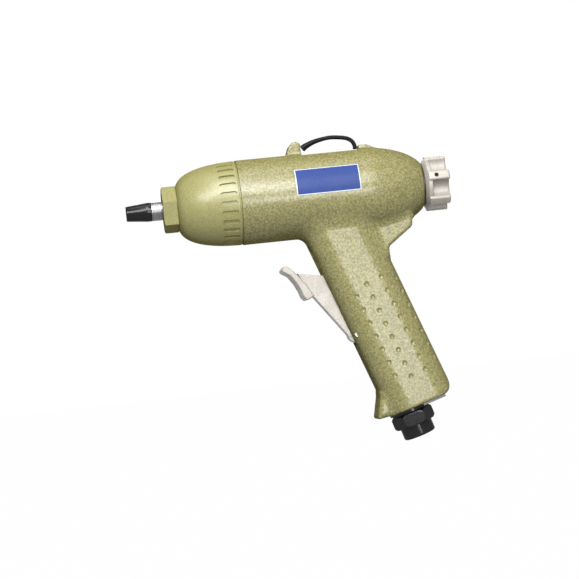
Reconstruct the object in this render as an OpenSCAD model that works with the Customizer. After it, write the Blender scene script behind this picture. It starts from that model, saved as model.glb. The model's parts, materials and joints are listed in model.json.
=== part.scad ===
// Pistol-grip air screwdriver, millimetres.
// X runs along the barrel with the spindle towards -X, Z is up, and x = 0 is the front
// face of the main housing on the spindle axis.
// Grip pieces are placed in the grip's own frame: w runs across the grip from front to
// back, and s runs down the grip from the barrel axis.

/* [Barrel] */
// Outer radius of the barrel
barrel_r = 25; // [24:0.25:27]
// Length of the main housing along the barrel
barrel_len = 109.2; // [108:0.4:114]
// Part of the rear dome's ellipse that is left in front of the rear face
dome_run = 34.5; // [32:0.5:37]
// Half length of the rear dome's ellipse
dome_half_len = 40; // [38:0.5:44]
// Fullness of the rear dome, fuller than an ellipse below one
dome_power = 0.85; // [0.75:0.05:1]
// Wall of the barrel round the gear train and motor
barrel_wall = 3.8; // [3.4:0.1:4.2]
// Width of the seam groove between the two housings
seam_gap = 0.6; // [0.4:0.1:1.2]
// Depth of the seam groove under the clutch housing's skin
seam_depth = 0.8; // [0.4:0.1:1.2]

/* [Clutch housing] */
// Length of the clutch housing in front of the seam
nose_len = 35.7; // [34.2:0.5:38.7]
// Step down from the barrel to the clutch housing
nose_step = 0.2; // [0.1:0.1:1.2]
// Length of the spigot that screws into the main housing
spigot_len = 20; // [18:0.5:22]
// Wall of the clutch housing's spigot
spigot_wall = 3.2; // [2.8:0.1:3.6]
// Wall at the front of the clutch chamber
nose_wall = 11; // [9:0.5:13]
// Number of grip slots round the housing
slot_count = 28; // [20:1:32]
// Length of a grip slot
slot_len = 9.5; // [6:0.5:12]
// Width of a grip slot
slot_w = 2.6; // [1.6:0.1:3]
// Depth of a grip slot
slot_depth = 1; // [0.5:0.1:1.5]
// Distance of the grip slots from the seam
slot_inset = 1.5; // [1:0.25:4]
// Angle that turns the ring of slots down on the label's side
slot_turn = 4.3; // [0:0.1:12]

/* [Nose nut and spindle] */
// Size of the nose nut across its flats
nut_af = 24; // [22:0.5:25]
// Angle of the nut's upper corner above the horizontal
nut_turn = 16; // [0:1:59]
// Length of the nose nut's hexagon
nut_len = 8.5; // [7:0.5:10]
// Radius of the nose nut's thread
nut_thread_r = 10.9; // [10.4:0.1:11.4]
// Length of the nose nut's thread
nut_thread_len = 10; // [8:0.5:10.5]
// Outer radius of the nose bush
bush_r = 7.55; // [7.2:0.05:8.2]
// Length of the nose bush
bush_len = 15; // [12:0.5:16]
// Radius of the spindle
spindle_r = 5.6; // [5.2:0.1:5.9]
// Length of spindle that shows in front of the nose nut
spindle_out = 6.5; // [4:0.5:9]
// Size of the bit socket across its flats
hex_af = 6.35; // [6:0.05:6.6]
// Depth of the spindle's hex socket
socket_depth = 20; // [16:1:22]
// Length of the bit holder in front of the spindle
holder_len = 15; // [12:0.5:20]
// Radius of the bit holder at its tip
holder_tip_r = 4.4; // [4.1:0.1:5]
// Depth of the socket in the bit holder's tip
holder_socket_depth = 10; // [8:0.5:11]

/* [Clutch] */
// Thickness of the spindle's jaw
jaw_t = 5.9; // [5:0.1:6]
// Thickness of the thrust washer
washer_t = 2; // [1.5:0.1:2]
// Radius of a clutch ball
ball_r = 2.4; // [2:0.1:2.6]
// Number of clutch balls
ball_count = 6; // [4:1:8]
// Gap between the two jaws when the clutch is closed
jaw_gap = 1.6; // [1.4:0.1:2]
// Thickness of the sliding cam
cam_t = 5.4; // [4.6:0.2:5.6]
// Radius of the clutch spring's wire
clutch_wire_r = 0.9; // [0.7:0.1:1]
// Turns of the clutch spring
clutch_turns = 4; // [3:1:4]
// Length of the fitted clutch spring
clutch_spring_len = 10; // [9:0.5:10]
// Thickness of the spring nut
spring_nut_t = 4; // [3:0.5:4]

/* [Gear train] */
// Wall of the ring gear behind its teeth
ring_wall = 2.2625; // [2.2:0.0125:2.5]
// Width of a planet gear
planet_w = 10; // [8:0.5:10.5]
// Thickness of the carrier's disc
carrier_t = 4; // [3:0.5:4]
// Radial gap between the planet carrier and the spigot
carrier_gap = 1.6; // [1.4:0.1:2.4]
// Radius of a planet pin
planet_pin_r = 2.25; // [2:0.05:2.5]
// Width of the ring gear
ring_w = 13; // [12:0.5:13]

/* [Bearings] */
// Bore radius of the carrier's bearing
carrier_bearing_bore_r = 7.6; // [7.4:0.1:7.8]
// Width of the carrier's bearing
carrier_bearing_w = 7; // [6:0.5:7]
// Bore radius of the rotor's front bearing
front_bearing_bore_r = 5.5; // [5.4:0.1:5.8]
// Outer radius of the rotor's front bearing
front_bearing_r = 10.5; // [10.2:0.1:11]
// Bore radius of the rotor's rear bearing
rear_bearing_bore_r = 4; // [3.8:0.1:4.4]
// Outer radius of the rotor's rear bearing
rear_bearing_r = 8; // [7.8:0.1:8.6]
// Width of each rotor bearing
rotor_bearing_w = 4.5; // [4:0.25:5]
// Number of balls in each bearing
bearing_balls = 8; // [6:1:8]

/* [Air motor] */
// Length of the motor cylinder
cylinder_len = 32; // [30:0.5:33]
// Mean wall of the motor cylinder
cylinder_wall = 4.7; // [4.5:0.1:4.9]
// Offset of the cylinder's bore from the spindle axis
eccentricity = 1.5; // [1.3:0.1:1.7]
// Least gap between the rotor and the cylinder
rotor_gap = 0.4; // [0.3:0.1:1.2]
// Number of vanes
vane_count = 5; // [4:1:6]
// Thickness of a vane
vane_t = 1.7; // [1.4:0.1:2]
// Radius of the vane slots' floors from the middle of the rotor
vane_root_r = 7; // [6.8:0.1:8.6]
// Thickness of each end plate's wall
plate_wall = 2.5; // [2:0.25:3]
// Radius of the dowel that lines up the motor
dowel_r = 1.25; // [1:0.05:1.3]
// Thickness of the motor gasket
gasket_t = 0.8; // [0.6:0.1:1]

/* [Reverse valve and knob] */
// Radius of the valve's stem in the knob
knob_stem_r = 5; // [4.6:0.1:5.4]
// Gap between the rear face and the knob
knob_gap = 1; // [0.8:0.1:1.6]
// Length of the knob
knob_len = 14.5; // [13:0.5:16]
// Length of the knob's bevelled flange
knob_flange_len = 4; // [3:0.5:5]
// Radius of the knob over its lobes
knob_r = 16.2; // [15:0.2:17]
// Radius of the knob in its valleys
knob_valley_r = 10.5; // [10:0.25:12]
// Number of knob lobes
knob_lobes = 6; // [5:1:7]
// Angle of the screw's lobe above the horizontal
knob_angle = 13; // [0:1:30]
// Radius of the knob's set screw
knob_screw_r = 1.25; // [1:0.05:1.5]

/* [Hanger bail] */
// Distance of the ear's front face from the housing's front face
ear_x = 31.2; // [30.5:0.4:36]
// Thickness of the ear along the barrel
ear_t = 8.5; // [7:0.5:9]
// Half width of the ear
ear_half_w = 4.5; // [4:0.25:6]
// Height of the bail's pivots over the barrel
bail_height = 3.2; // [3:0.1:4]
// Span of the bail between its ears
bail_span = 34.6; // [33:0.2:36]
// Drop of the bail's pivot axis over its span
bail_drop = 2.7; // [2.6:0.1:3]
// Rise of the bail over its pivot axis
bail_rise = 6.7; // [6:0.1:9]
// Radius of the bail's wire
bail_wire_r = 1.25; // [1.1:0.05:1.4]
// Radius of the bail's thick front end
bail_end_r = 2.1; // [1.7:0.1:2.3]
// Depth of the flat under the bail
bail_flat_depth = 1.1; // [0.6:0.1:1.6]

/* [Label] */
// Distance of the label from the housing's front face
label_x = 32.5; // [31.5:0.5:38]
// Length of the label
label_len = 37.5; // [30:0.5:40]
// Width of the label round the barrel
label_w = 15.9; // [12:0.3:18]
// Angle of the label's middle above the horizontal
label_angle = 15; // [10:0.5:30]
// Thickness of the label
label_t = 0.4; // [0.3:0.1:0.6]

/* [Grip] */
// Distance of the grip's axis from the housing's front face, at the barrel axis
grip_x = 49.2; // [48:0.4:51]
// Rake of the grip from the vertical
grip_rake = 19.5; // [18:0.5:21]
// Length of the grip down its axis
grip_len = 136; // [130:1:142]
// Depth of the grip from front to back
grip_depth = 40.5; // [39:0.5:42]
// Width of the grip from side to side
grip_w = 35; // [34:0.5:37]
// Radius of the grip's long edges
grip_edge_r = 13; // [12:0.5:14]
// Radius of the grip's lower rear corner
grip_corner_r = 8; // [5:0.5:10]
// Half thickness of the web behind the grip
tang_half_w = 13; // [11:0.5:15]
// Reach of the toe in front of the grip
toe_reach = 7.6; // [6:0.2:9]
// Height of the toe
toe_h = 15; // [12:0.5:18]
// Half width of the toe
toe_half_w = 11; // [9:0.5:13]
// Radius of a grip dimple
dimple_r = 1.6; // [1.2:0.1:2]
// Depth of a grip dimple
dimple_depth = 0.6; // [0.3:0.1:0.8]
// Pitch of the dimples down the grip
dimple_pitch = 8.5; // [8:0.1:9]
// Place of the first row of dimples down the grip
dimple_s = 59.1; // [57:0.5:61]
// Distance between the middle two columns of dimples
dimple_gap = 9.5; // [8:0.5:10]
// Distance from the middle column to the front column
dimple_front_gap = 8.2; // [7:0.2:9]
// Number of dimples in a full column
dimple_count = 8; // [6:1:8]

/* [Trigger] */
// Place of the trigger's pivot down the grip
pivot_s = 83.4; // [81:0.4:85]
// Depth of the trigger's pivot behind the grip's front
pivot_depth = 2.4; // [2:0.2:3.6]
// Length of the trigger above its pivot
trigger_len = 52.6; // [50:0.4:54]
// Reach of the finger pad in front of the pivot
trigger_reach = 24.4; // [23:0.2:26]
// Width of the finger pad
pad_w = 20; // [16:0.5:22]
// Thickness of the trigger's web
web_t = 8.4; // [7:0.2:9]
// Radius of the trigger's pin
trigger_pin_r = 1.5; // [1.3:0.1:1.8]
// Radius of the boss round the trigger's pin
trigger_boss_r = 4.6; // [4:0.2:5]
// Gap between the barrel's lowest point and the trigger's slot, down the grip
slot_top_gap = 1; // [0.6:0.4:5]
// Depth of the slot in the grip's front
grip_slot_depth = 14; // [13.6:0.1:14.2]

/* [Throttle valve] */
// Place of the throttle valve down the grip
throttle_s = 60; // [59:0.5:62]
// Radius of the throttle bush
throttle_bush_r = 6; // [5.6:0.1:6.4]
// Length of the throttle bush
throttle_bush_len = 7; // [6.4:0.1:7.2]
// Radius of the throttle stem
stem_r = 2.25; // [2:0.05:2.5]
// Radius of the valve head
head_r = 5; // [4.6:0.1:5.2]
// Thickness of the valve head
head_t = 2.1; // [1.8:0.1:2.4]
// Thickness of the throttle seal
seal_t = 0.8; // [0.6:0.1:1]
// Length of the throttle spring
throttle_spring_len = 11; // [10.5:0.25:12]
// Radius of the throttle spring's wire
throttle_wire_r = 0.5; // [0.4:0.05:0.55]
// Turns of the throttle spring
throttle_turns = 5; // [4:1:5]
// Radius of the air passage into the throttle valve
supply_r = 3.5; // [3:0.1:3.8]
// Radius of the air passage up to the motor
delivery_r = 2.4; // [2:0.1:2.5]
// Radius of each exhaust passage
exhaust_r = 2.8; // [2.4:0.1:3]

/* [Air inlet] */
// Place of the inlet across the grip
inlet_w = -7.6; // [-8.4:0.1:-7]
// Tilt of the inlet from the grip's axis
inlet_tilt = 2.8; // [2:0.2:4]
// Size of the inlet's hexagon across its flats
inlet_af = 22; // [20:0.5:23]
// Length of the inlet's hexagon
inlet_hex_len = 8; // [7:0.25:9]
// Radius of the inlet's collar
inlet_collar_r = 9.65; // [9.2:0.1:10.2]
// Length of the inlet's collar
inlet_collar_len = 7; // [6:0.25:8]
// Radius of the inlet's female thread
inlet_thread_r = 5.9; // [5.6:0.05:6.2]
// Depth of the inlet's female thread
inlet_thread_len = 14; // [12:0.5:14.5]
// Radius of the inlet's boss in the grip
inlet_boss_r = 8.5; // [8:0.1:8.8]
// Length of the inlet's boss
inlet_boss_len = 18; // [16:0.5:20]
// Thickness of the exhaust deflector
deflector_t = 1.8; // [1.5:0.1:2.2]

/* [Hidden] */
$fn = 64;
// Overrun of every cut
over = 0.5;
// Radial clearance of a slip fit within one body
slip = 0.05;
// Radial clearance of a running fit
run = 0.04;
// Clearance between faces that pass each other
face_gap = 0.3;
// Colours
hammer_paint = [0.71, 0.69, 0.48];
satin_paint = [0.69, 0.67, 0.45];
bare_steel = [0.72, 0.72, 0.72];
black_steel = [0.10, 0.10, 0.11];
cast_metal = [0.80, 0.78, 0.76];
bronze = [0.66, 0.47, 0.24];
rubber_black = [0.07, 0.07, 0.07];

// Places along the barrel, from the spindle to the knob
seam_x = -seam_gap;
nose_x = seam_x - nose_len;
nut_x = nose_x - nut_len;
spindle_x = nut_x - spindle_out;
holder_x = spindle_x - holder_len;
chamber_x = nose_x + nose_wall;
jaw_x = chamber_x + washer_t + slip;
jaw_end = jaw_x + jaw_t;
ball_x = jaw_end + jaw_gap / 2;
cam_x = jaw_end + jaw_gap;
cam_end = cam_x + cam_t;
spring_nut_x = cam_end + clutch_spring_len;
thread_x = spring_nut_x - slip;
bearing_x = spigot_len - carrier_t - carrier_bearing_w;
carrier_x = bearing_x + carrier_bearing_w + face_gap;
carrier_end = carrier_x + carrier_t;
planet_x = carrier_end + face_gap;
ring_end = spigot_len + ring_w;
front_plate_end = ring_end + rotor_bearing_w + plate_wall;
cylinder_end = front_plate_end + cylinder_len;
rear_plate_end = cylinder_end + plate_wall + rotor_bearing_w;
motor_end = rear_plate_end + gasket_t;
dome_x = barrel_len - dome_run;
knob_x = barrel_len + knob_gap;
knob_end = knob_x + knob_len;

// Radii that follow the barrel's
bore_r = barrel_r - barrel_wall;
nose_r = barrel_r - nose_step;
chamber_r = bore_r - spigot_wall;
carrier_r = chamber_r - carrier_gap;
cylinder_bore_r = bore_r - cylinder_wall;
rotor_r = cylinder_bore_r - eccentricity - rotor_gap;
vane_h = rotor_r - vane_root_r;
bail_z = barrel_r + bail_height;
slot_top_s = barrel_r + slot_top_gap;
jaw_share = 7 / 9;
jaw_r = chamber_r * jaw_share;
ball_circle_share = 24 / 35;
ball_circle_r = jaw_r * ball_circle_share;
spring_nut_share = 6 / 7;
spring_nut_r = jaw_r * spring_nut_share;
thread_share = 1 / 2;
thread_r = jaw_r * thread_share;
reverse_bush_share = 65 / 106;
reverse_bush_r = bore_r * reverse_bush_share;
reverse_share = 9 / 13;
reverse_r = reverse_bush_r * reverse_share;

// Sizes that belong to single pieces
nut_lip = 2;
hex_clearance = 0.1;
holder_chamfer = 0.6;
pilot_r = 3;
pilot_len = 10;
drive_af = 11;
spring_nut_slot_w = 2.5;
rear_wall = 4.7;
valve_neck_r = 7;
valve_port_len = 7;
valve_port_depth = 4;
seal_section_r = 0.8;
seal_groove_inset = 3;
knob_stem_len = 8.8;
knob_bevel = 1.8;
knob_chamfer = 1;
knob_screw_x = 6.5;
knob_screw_len = 4.5;
vane_slot_clearance = 0.1;
vane_inset = 0.15;
port_r = 3;
bail_stub_r = 1.1;
bail_stub_len = 5;
bail_end_len = 2.6;
bail_cover = 0.4;
hump_len = 11;
hump_half_w = 3.2;
flat_half_w = 12;
dimple_mid_w = -1;
toe_chin = 1.4;
web_side_gap = 0.5;
slot_end_gap = 1.5;
stem_gap = 0.15;
stem_chamber_r = 3.6;
port_hole_r = 1.8;
spring_nub_r = 2;
spring_nub_len = 1.2;
throttle_spring_r = 3.3;
exhaust_y = 10.5;
exhaust_w = 6;
exhaust_lap = 1.2;
exhaust_top_s = bore_r - exhaust_lap;
silencer_len = 14;
plenum_len = 4;
inlet_bore_r = 4;
inlet_washer_t = 0.8;
inlet_washer_r = 11;
inlet_chamfer = 1;
screen_t = 1;
screen_hole_r = 0.6;
deflector_r = 12.4;
deflector_half_w = 10;
deflector_reach = 21.5;

// Gear teeth: the ring holds the sun and planets, and each planet turns on its own pin
sun_teeth = 12;
planet_teeth = 18;
ring_teeth = 48;
tooth_root_share = 1.25;
gear_module = (bore_r - ring_wall) / (ring_teeth / 2 + tooth_root_share);
planet_circle_r = gear_module * (sun_teeth + planet_teeth) / 2;
tooth_half_share = 0.42;
tooth_foot_share = 1.45;
tooth_tip_share = 0.5;

// Places in the grip
front_w = -grip_depth / 2;
pivot_w = front_w + pivot_depth;
web_back_share = 0.143;
web_back_w = pivot_w + web_back_share * trigger_reach;
slot_floor_w = front_w + grip_slot_depth;
seat_w = slot_floor_w + throttle_bush_len;
head_w = seat_w + slip + seal_t;
spring_w = head_w + head_t;
delivery_w = seat_w - throttle_bush_len / 2;
bail_span_angle = asin(bail_drop / bail_span);

// A point on an arc, and the superellipse and ellipse that round the barrel's two ends
function arc(cx, cy, r, a0, a1, n) =
    [for (i = [0 : n]) [cx + r * cos(a0 + (a1 - a0) * i / n), cy + r * sin(a0 + (a1 - a0) * i / n)]];
nose_power_share = 0.45;
nose_half_share = 36 / 35;
nose_half_len = nose_len * nose_half_share;
nose_sweep = asin(1 / nose_half_share);
dome_sweep = asin(dome_run / dome_half_len);
dome_steps = 12;
nose_curve = [for (i = [0 : dome_steps])
    let (t = nose_sweep * i / dome_steps)
    [nose_r * pow(cos(t), nose_power_share), seam_x - nose_half_len * sin(t)]];
rear_curve = [for (i = [0 : dome_steps])
    let (t = dome_sweep * i / dome_steps)
    [barrel_r * pow(cos(t), dome_power), dome_x + dome_half_len * sin(t)]];

// Outlines as shares of the sizes that they follow
tang_shares = [[0.928, -0.756], [0.918, -0.82], [0.913, -0.968], [0.904, -1.012],
    [0.783, -1.388], [0.776, -1.44], [0.773, -1.64], [0.641, -1.64], [0.641, -0.5], [0.9, -0.6]];
ear_front_share = 0.35;
ear_top_share = 2;
bail_shares = [[0.04, 0.02], [0.115, 0.3], [0.26, 0.67], [0.49, 0.985], [0.69, 1],
    [0.83, 0.88], [0.91, 0.61], [0.948, 0.25], [0.953, -0.1]];
pad_shares = [[1, 1], [0.85, 0.914], [0.79, 0.814], [0.765, 0.709], [0.773, 0.639],
    [0.74, 0.593], [0.69, 0.58], [0.575, 0.589], [0.53, 0.603], [0.545, 0.627],
    [0.576, 0.724], [0.651, 0.848], [0.741, 0.954], [0.843, 1.044]];
web_shares = [[0.639, 0.897], [0.149, 0.766], [-0.143, 0.73], [-0.143, 0.08],
    [0.02, -0.02], [0.169, 0.013], [0.53, 0.586], [0.6, 0.75]];

// A rod, a tube and an outline drawn along the barrel, and a profile turned round it
module rod(x0, x1, r) {
    translate([x0, 0, 0]) rotate([0, 90, 0]) cylinder(h = x1 - x0, r = r);
}
module tube(x0, x1, r, hole_r) {
    difference() {
        rod(x0, x1, r);
        rod(x0 - over, x1 + over, hole_r);
    }
}
module along(x0, x1) {
    translate([x0, 0, 0]) rotate([90, 0, 90]) linear_extrude(x1 - x0) children();
}
module turned() {
    rotate([0, 90, 0]) rotate_extrude() children();
}
module hex_outline(af) {
    circle(r = af / 2 / cos(30), $fn = 6);
}
// A plate cut from an outline in the XZ plane, half on each side of the middle
module plate(half_w) {
    rotate([90, 0, 0]) linear_extrude(2 * half_w, center = true) children();
}
// The grip's frame, and rods that lie across it and down it
module in_grip() {
    translate([grip_x, 0, 0]) rotate([0, -grip_rake, 0]) children();
}
module across(w0, w1, r, s) {
    translate([w0, 0, -s]) rotate([0, 90, 0]) cylinder(h = w1 - w0, r = r);
}
module down(s0, s1, r, w, y) {
    translate([w, y, -s1]) cylinder(h = s1 - s0, r = r);
}
// The inlet's frame, with z = 0 on the grip's bottom face
module in_inlet() {
    in_grip() translate([inlet_w, 0, -grip_len]) rotate([0, inlet_tilt, 0]) children();
}
// A helical spring from 0 to len along Z
module coil(len, r, wire_r, turns) {
    ring_sides = 6;
    steps = 8 * turns;
    rise = len - 2 * wire_r;
    pts = [for (i = [0 : steps]) for (j = [0 : ring_sides - 1])
        let (a = 360 * turns * i / steps, b = 360 * j / ring_sides)
        [(r + wire_r * cos(b)) * cos(a), (r + wire_r * cos(b)) * sin(a),
            wire_r + rise * i / steps + wire_r * sin(b)]];
    sides = [for (i = [0 : steps - 1]) for (j = [0 : ring_sides - 1])
        let (k = (j + 1) % ring_sides, p = i * ring_sides, q = p + ring_sides)
        each [[p + j, q + j, q + k], [p + j, q + k, p + k]]];
    first = [for (j = [1 : ring_sides - 2]) [0, j, j + 1]];
    base = steps * ring_sides;
    last = [for (j = [1 : ring_sides - 2]) [base, base + j + 1, base + j]];
    polyhedron(points = pts, faces = concat(sides, first, last));
}
// Gear outline with straight-sided teeth, the first centred on +X
module gear_outline(teeth) {
    half = 180 * tooth_half_share / teeth;
    root = gear_module * (teeth / 2 - tooth_root_share);
    tip = gear_module * (teeth / 2 + 1);
    polygon([for (i = [0 : teeth - 1]) let (a = 360 * i / teeth) each [
        root * [cos(a - half * tooth_foot_share), sin(a - half * tooth_foot_share)],
        tip * [cos(a - half * tooth_tip_share), sin(a - half * tooth_tip_share)],
        tip * [cos(a + half * tooth_tip_share), sin(a + half * tooth_tip_share)],
        root * [cos(a + half * tooth_foot_share), sin(a + half * tooth_foot_share)]]]);
}
// Hole of the ring gear, whose teeth point inwards
module ring_hole_outline() {
    half = 180 * tooth_half_share / ring_teeth;
    root = gear_module * (ring_teeth / 2 + tooth_root_share);
    tip = gear_module * (ring_teeth / 2 - 1);
    polygon([for (i = [0 : ring_teeth - 1]) let (a = 360 * i / ring_teeth) each [
        root * [cos(a - half * tooth_foot_share), sin(a - half * tooth_foot_share)],
        tip * [cos(a - half * tooth_tip_share), sin(a - half * tooth_tip_share)],
        tip * [cos(a + half * tooth_tip_share), sin(a + half * tooth_tip_share)],
        root * [cos(a + half * tooth_foot_share), sin(a + half * tooth_foot_share)]]]);
}
// Ball bearing: the race grooves hold balls that ride with the inner ring
bearing_ball_share = 0.22;
race_share = 0.5;
module race_outer(x, w, bore, r) {
    ball = (r - bore) * bearing_ball_share;
    mid = (r + bore) / 2;
    turned() difference() {
        translate([mid + ball * race_share, x]) square([r - slip - mid - ball * race_share, w]);
        translate([mid, x + w / 2]) circle(r = ball + run);
    }
}
module race_inner(x, w, bore, r) {
    ball = (r - bore) * bearing_ball_share;
    mid = (r + bore) / 2;
    turned() difference() {
        translate([bore + slip, x]) square([mid - ball * race_share - bore - slip, w]);
        translate([mid, x + w / 2]) circle(r = ball + run);
    }
    for (i = [0 : bearing_balls - 1])
        rotate([360 * i / bearing_balls, 0, 0]) translate([x + w / 2, 0, mid]) sphere(r = ball);
}

module grip_outline() {
    flat_w = grip_depth / 2 - grip_edge_r;
    flat_y = grip_w / 2 - grip_edge_r;
    square([grip_depth, 2 * flat_y], center = true);
    square([2 * flat_w, grip_w], center = true);
    for (w = [-flat_w, flat_w])
        for (y = [-flat_y, flat_y])
            translate([w, y]) circle(r = grip_edge_r);
}
// Side view of the grip, with its lower face square to the inlet
module grip_side() {
    rear_w = grip_depth / 2;
    foot = grip_len + (rear_w - grip_corner_r - inlet_w) * tan(inlet_tilt);
    polygon(concat([[rear_w, 0], [front_w, 0],
        [front_w, -grip_len - (front_w - inlet_w) * tan(inlet_tilt)]],
        arc(rear_w - grip_corner_r, grip_corner_r - foot, grip_corner_r, -90, 0, 6)));
}
module toe_side() {
    foot = grip_len + (front_w - inlet_w) * tan(inlet_tilt);
    polygon([[front_w + toe_h / 2, -foot + toe_h], [front_w, -foot + toe_h],
        [front_w - toe_reach, -foot + 2 * toe_chin], [front_w - toe_reach, -foot + toe_chin],
        [front_w, -foot], [front_w + toe_h / 2, -foot]]);
}
// One side's dimples, each a shallow cap in the grip's surface
module dimples() {
    cap_r = (pow(dimple_r, 2) + pow(dimple_depth, 2)) / (2 * dimple_depth);
    flat_w = grip_depth / 2 - grip_edge_r;
    flat_y = grip_w / 2 - grip_edge_r;
    columns = [[dimple_mid_w - dimple_front_gap, 1], [dimple_mid_w, 0],
        [dimple_mid_w + dimple_gap, 0], [dimple_mid_w + dimple_gap + dimple_front_gap, 1]];
    for (c = columns)
        for (i = [0 : dimple_count - 1 - c[1]]) {
            edge_w = max(-flat_w, min(flat_w, c[0]));
            a = asin((c[0] - edge_w) / grip_edge_r);
            reach = grip_edge_r + cap_r - dimple_depth;
            translate([edge_w + reach * sin(a), -flat_y - reach * cos(a),
                -dimple_s - dimple_pitch * (i + c[1] / 2)])
                sphere(r = cap_r);
        }
}
module bail_frame() {
    translate([ear_x + ear_t, 0, bail_z]) rotate([0, bail_span_angle, 0]) children();
}
module main_housing() color(hammer_paint) {
    hump_x = ear_x + ear_t + bail_span * cos(bail_span_angle);
    hump_top = bail_z - bail_drop + bail_stub_r + bail_cover;
    difference() {
        union() {
            difference() {
                turned() polygon(concat([[0, 0], [barrel_r, 0]], rear_curve, [[0, barrel_len]]));
                translate([ear_x + ear_t, -flat_half_w, barrel_r - bail_flat_depth])
                    cube([hump_x - ear_x - ear_t, 2 * flat_half_w, barrel_r]);
            }
            in_grip() intersection() {
                translate([0, 0, -grip_len - toe_h]) linear_extrude(grip_len + toe_h)
                    grip_outline();
                plate(grip_w) grip_side();
            }
            in_grip() plate(toe_half_w) toe_side();
            plate(tang_half_w)
                polygon([for (p = tang_shares) [p[0] * barrel_len, p[1] * barrel_r]]);
            plate(ear_half_w) polygon([[ear_x, bore_r], [ear_x, barrel_r],
                [ear_x + ear_t * ear_front_share, bail_z + bail_end_r],
                [ear_x + ear_t * (1 - ear_front_share), bail_z + ear_top_share * bail_end_r],
                [ear_x + ear_t, bail_z + bail_end_r], [ear_x + ear_t, bore_r]]);
            plate(hump_half_w) polygon([[hump_x, bore_r], [hump_x, hump_top],
                [hump_x + bail_stub_len, hump_top], [hump_x + hump_len, barrel_r - bail_flat_depth],
                [hump_x + hump_len, bore_r]]);
        }
        rod(-over, motor_end, bore_r);
        rod(motor_end - over, barrel_len - rear_wall, reverse_bush_r + slip);
        rod(barrel_len - rear_wall - over, barrel_len + over, reverse_r + face_gap);
        bail_frame() {
            rod(-bail_stub_len, over, bail_stub_r + run);
            rod(bail_span - over, bail_span + bail_stub_len, bail_stub_r + run);
        }
        in_grip() {
            slot_end_s = pivot_s + trigger_boss_r + slot_end_gap;
            translate([front_w - grip_slot_depth, -web_t / 2 - web_side_gap, -slot_end_s])
                cube([2 * grip_slot_depth, web_t + 2 * web_side_gap, slot_end_s - slot_top_s]);
            across(slot_floor_w - over, spring_w + throttle_spring_len, throttle_bush_r + slip,
                throttle_s);
            translate([pivot_w, 0, -pivot_s]) rotate([90, 0, 0])
                cylinder(h = grip_w, r = trigger_pin_r + slip, center = true);
            down(exhaust_top_s, throttle_s, delivery_r, delivery_w, 0);
            down(throttle_s, grip_len - inlet_boss_len, supply_r, seat_w, 0);
            for (y = [-exhaust_y, exhaust_y])
                down(exhaust_top_s, grip_len + toe_h, exhaust_r, exhaust_w, y);
            dimples();
            mirror([0, 1, 0]) dimples();
        }
        in_inlet() translate([0, 0, -over])
            cylinder(h = inlet_boss_len + plenum_len, r = inlet_boss_r + slip);
    }
}
module clutch_housing() color(satin_paint) {
    difference() {
        union() {
            turned() polygon(concat([[0, seam_x]], nose_curve, [[0, nose_x]]));
            rod(seam_x - over, -slip, nose_r - seam_depth);
            rod(seam_x - over, spigot_len, bore_r - slip);
        }
        rod(nose_x - over, chamber_x + over, nut_thread_r + slip);
        rod(chamber_x, spigot_len + over, chamber_r);
        for (i = [0 : slot_count - 1])
            rotate([360 * i / slot_count + slot_turn, 0, 0])
                translate([seam_x - slot_inset - slot_len / 2, 0, nose_r])
                    cube([slot_len, slot_w, 2 * slot_depth], center = true);
    }
}
module nose_nut() color(satin_paint) {
    difference() {
        union() {
            along(nut_x, nose_x) rotate(-nut_turn) hex_outline(nut_af);
            rod(nose_x - over, nose_x + nut_thread_len, nut_thread_r);
        }
        rod(nut_x - over, nose_x, spindle_r + face_gap);
        rod(nut_x + nut_lip, nose_x + nut_thread_len + over, bush_r + slip);
    }
}
module nose_bush() color(bronze) {
    tube(nut_x + nut_lip, nut_x + nut_lip + bush_len, bush_r, spindle_r + run);
}
module thrust_washer() color(bronze) {
    tube(chamber_x, chamber_x + washer_t, jaw_r, spindle_r + face_gap);
}
module ball_pattern(r) {
    for (i = [0 : ball_count - 1])
        rotate([360 * i / ball_count, 0, 0]) translate([ball_x, 0, ball_circle_r]) sphere(r = r);
}
module spindle() color(bare_steel) {
    difference() {
        union() {
            rod(spindle_x, jaw_x + over, spindle_r);
            rod(jaw_x, jaw_end, jaw_r);
            rod(jaw_end - over, jaw_end + pilot_len, pilot_r);
        }
        along(spindle_x - over, spindle_x + socket_depth) hex_outline(hex_af + hex_clearance);
        ball_pattern(ball_r + slip);
    }
}
module bit_holder() color(black_steel) {
    difference() {
        union() {
            turned() polygon([[0, holder_x], [holder_tip_r - holder_chamfer, holder_x],
                [holder_tip_r, holder_x + holder_chamfer], [spindle_r, spindle_x - holder_chamfer],
                [spindle_r, spindle_x], [0, spindle_x]]);
            along(spindle_x - over, spindle_x + socket_depth - slip) hex_outline(hex_af);
        }
        along(holder_x - over, holder_x + holder_socket_depth)
            hex_outline(hex_af + hex_clearance);
    }
}
module clutch_balls() color(bare_steel) ball_pattern(ball_r);
module clutch_cam() color(bare_steel) {
    difference() {
        rod(cam_x, cam_end, jaw_r);
        along(cam_x - over, cam_end + over) hex_outline(drive_af + hex_clearance);
        ball_pattern(ball_r + slip);
    }
}
module clutch_spring() color(bare_steel) {
    translate([cam_end, 0, 0]) rotate([0, 90, 0])
        coil(clutch_spring_len, ball_circle_r, clutch_wire_r, clutch_turns);
}
module spring_nut() color(bare_steel) {
    difference() {
        tube(spring_nut_x, spring_nut_x + spring_nut_t, spring_nut_r, thread_r + slip);
        for (i = [0 : 3])
            rotate([90 * i, 0, 0])
                translate([spring_nut_x + spring_nut_t / 2, 0, spring_nut_r])
                    cube([2 * spring_nut_t, spring_nut_slot_w, spring_nut_slot_w], center = true);
    }
}
module planet_pattern() {
    for (i = [0 : 2])
        rotate([120 * i, 0, 0]) translate([0, planet_circle_r, 0]) children();
}
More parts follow.
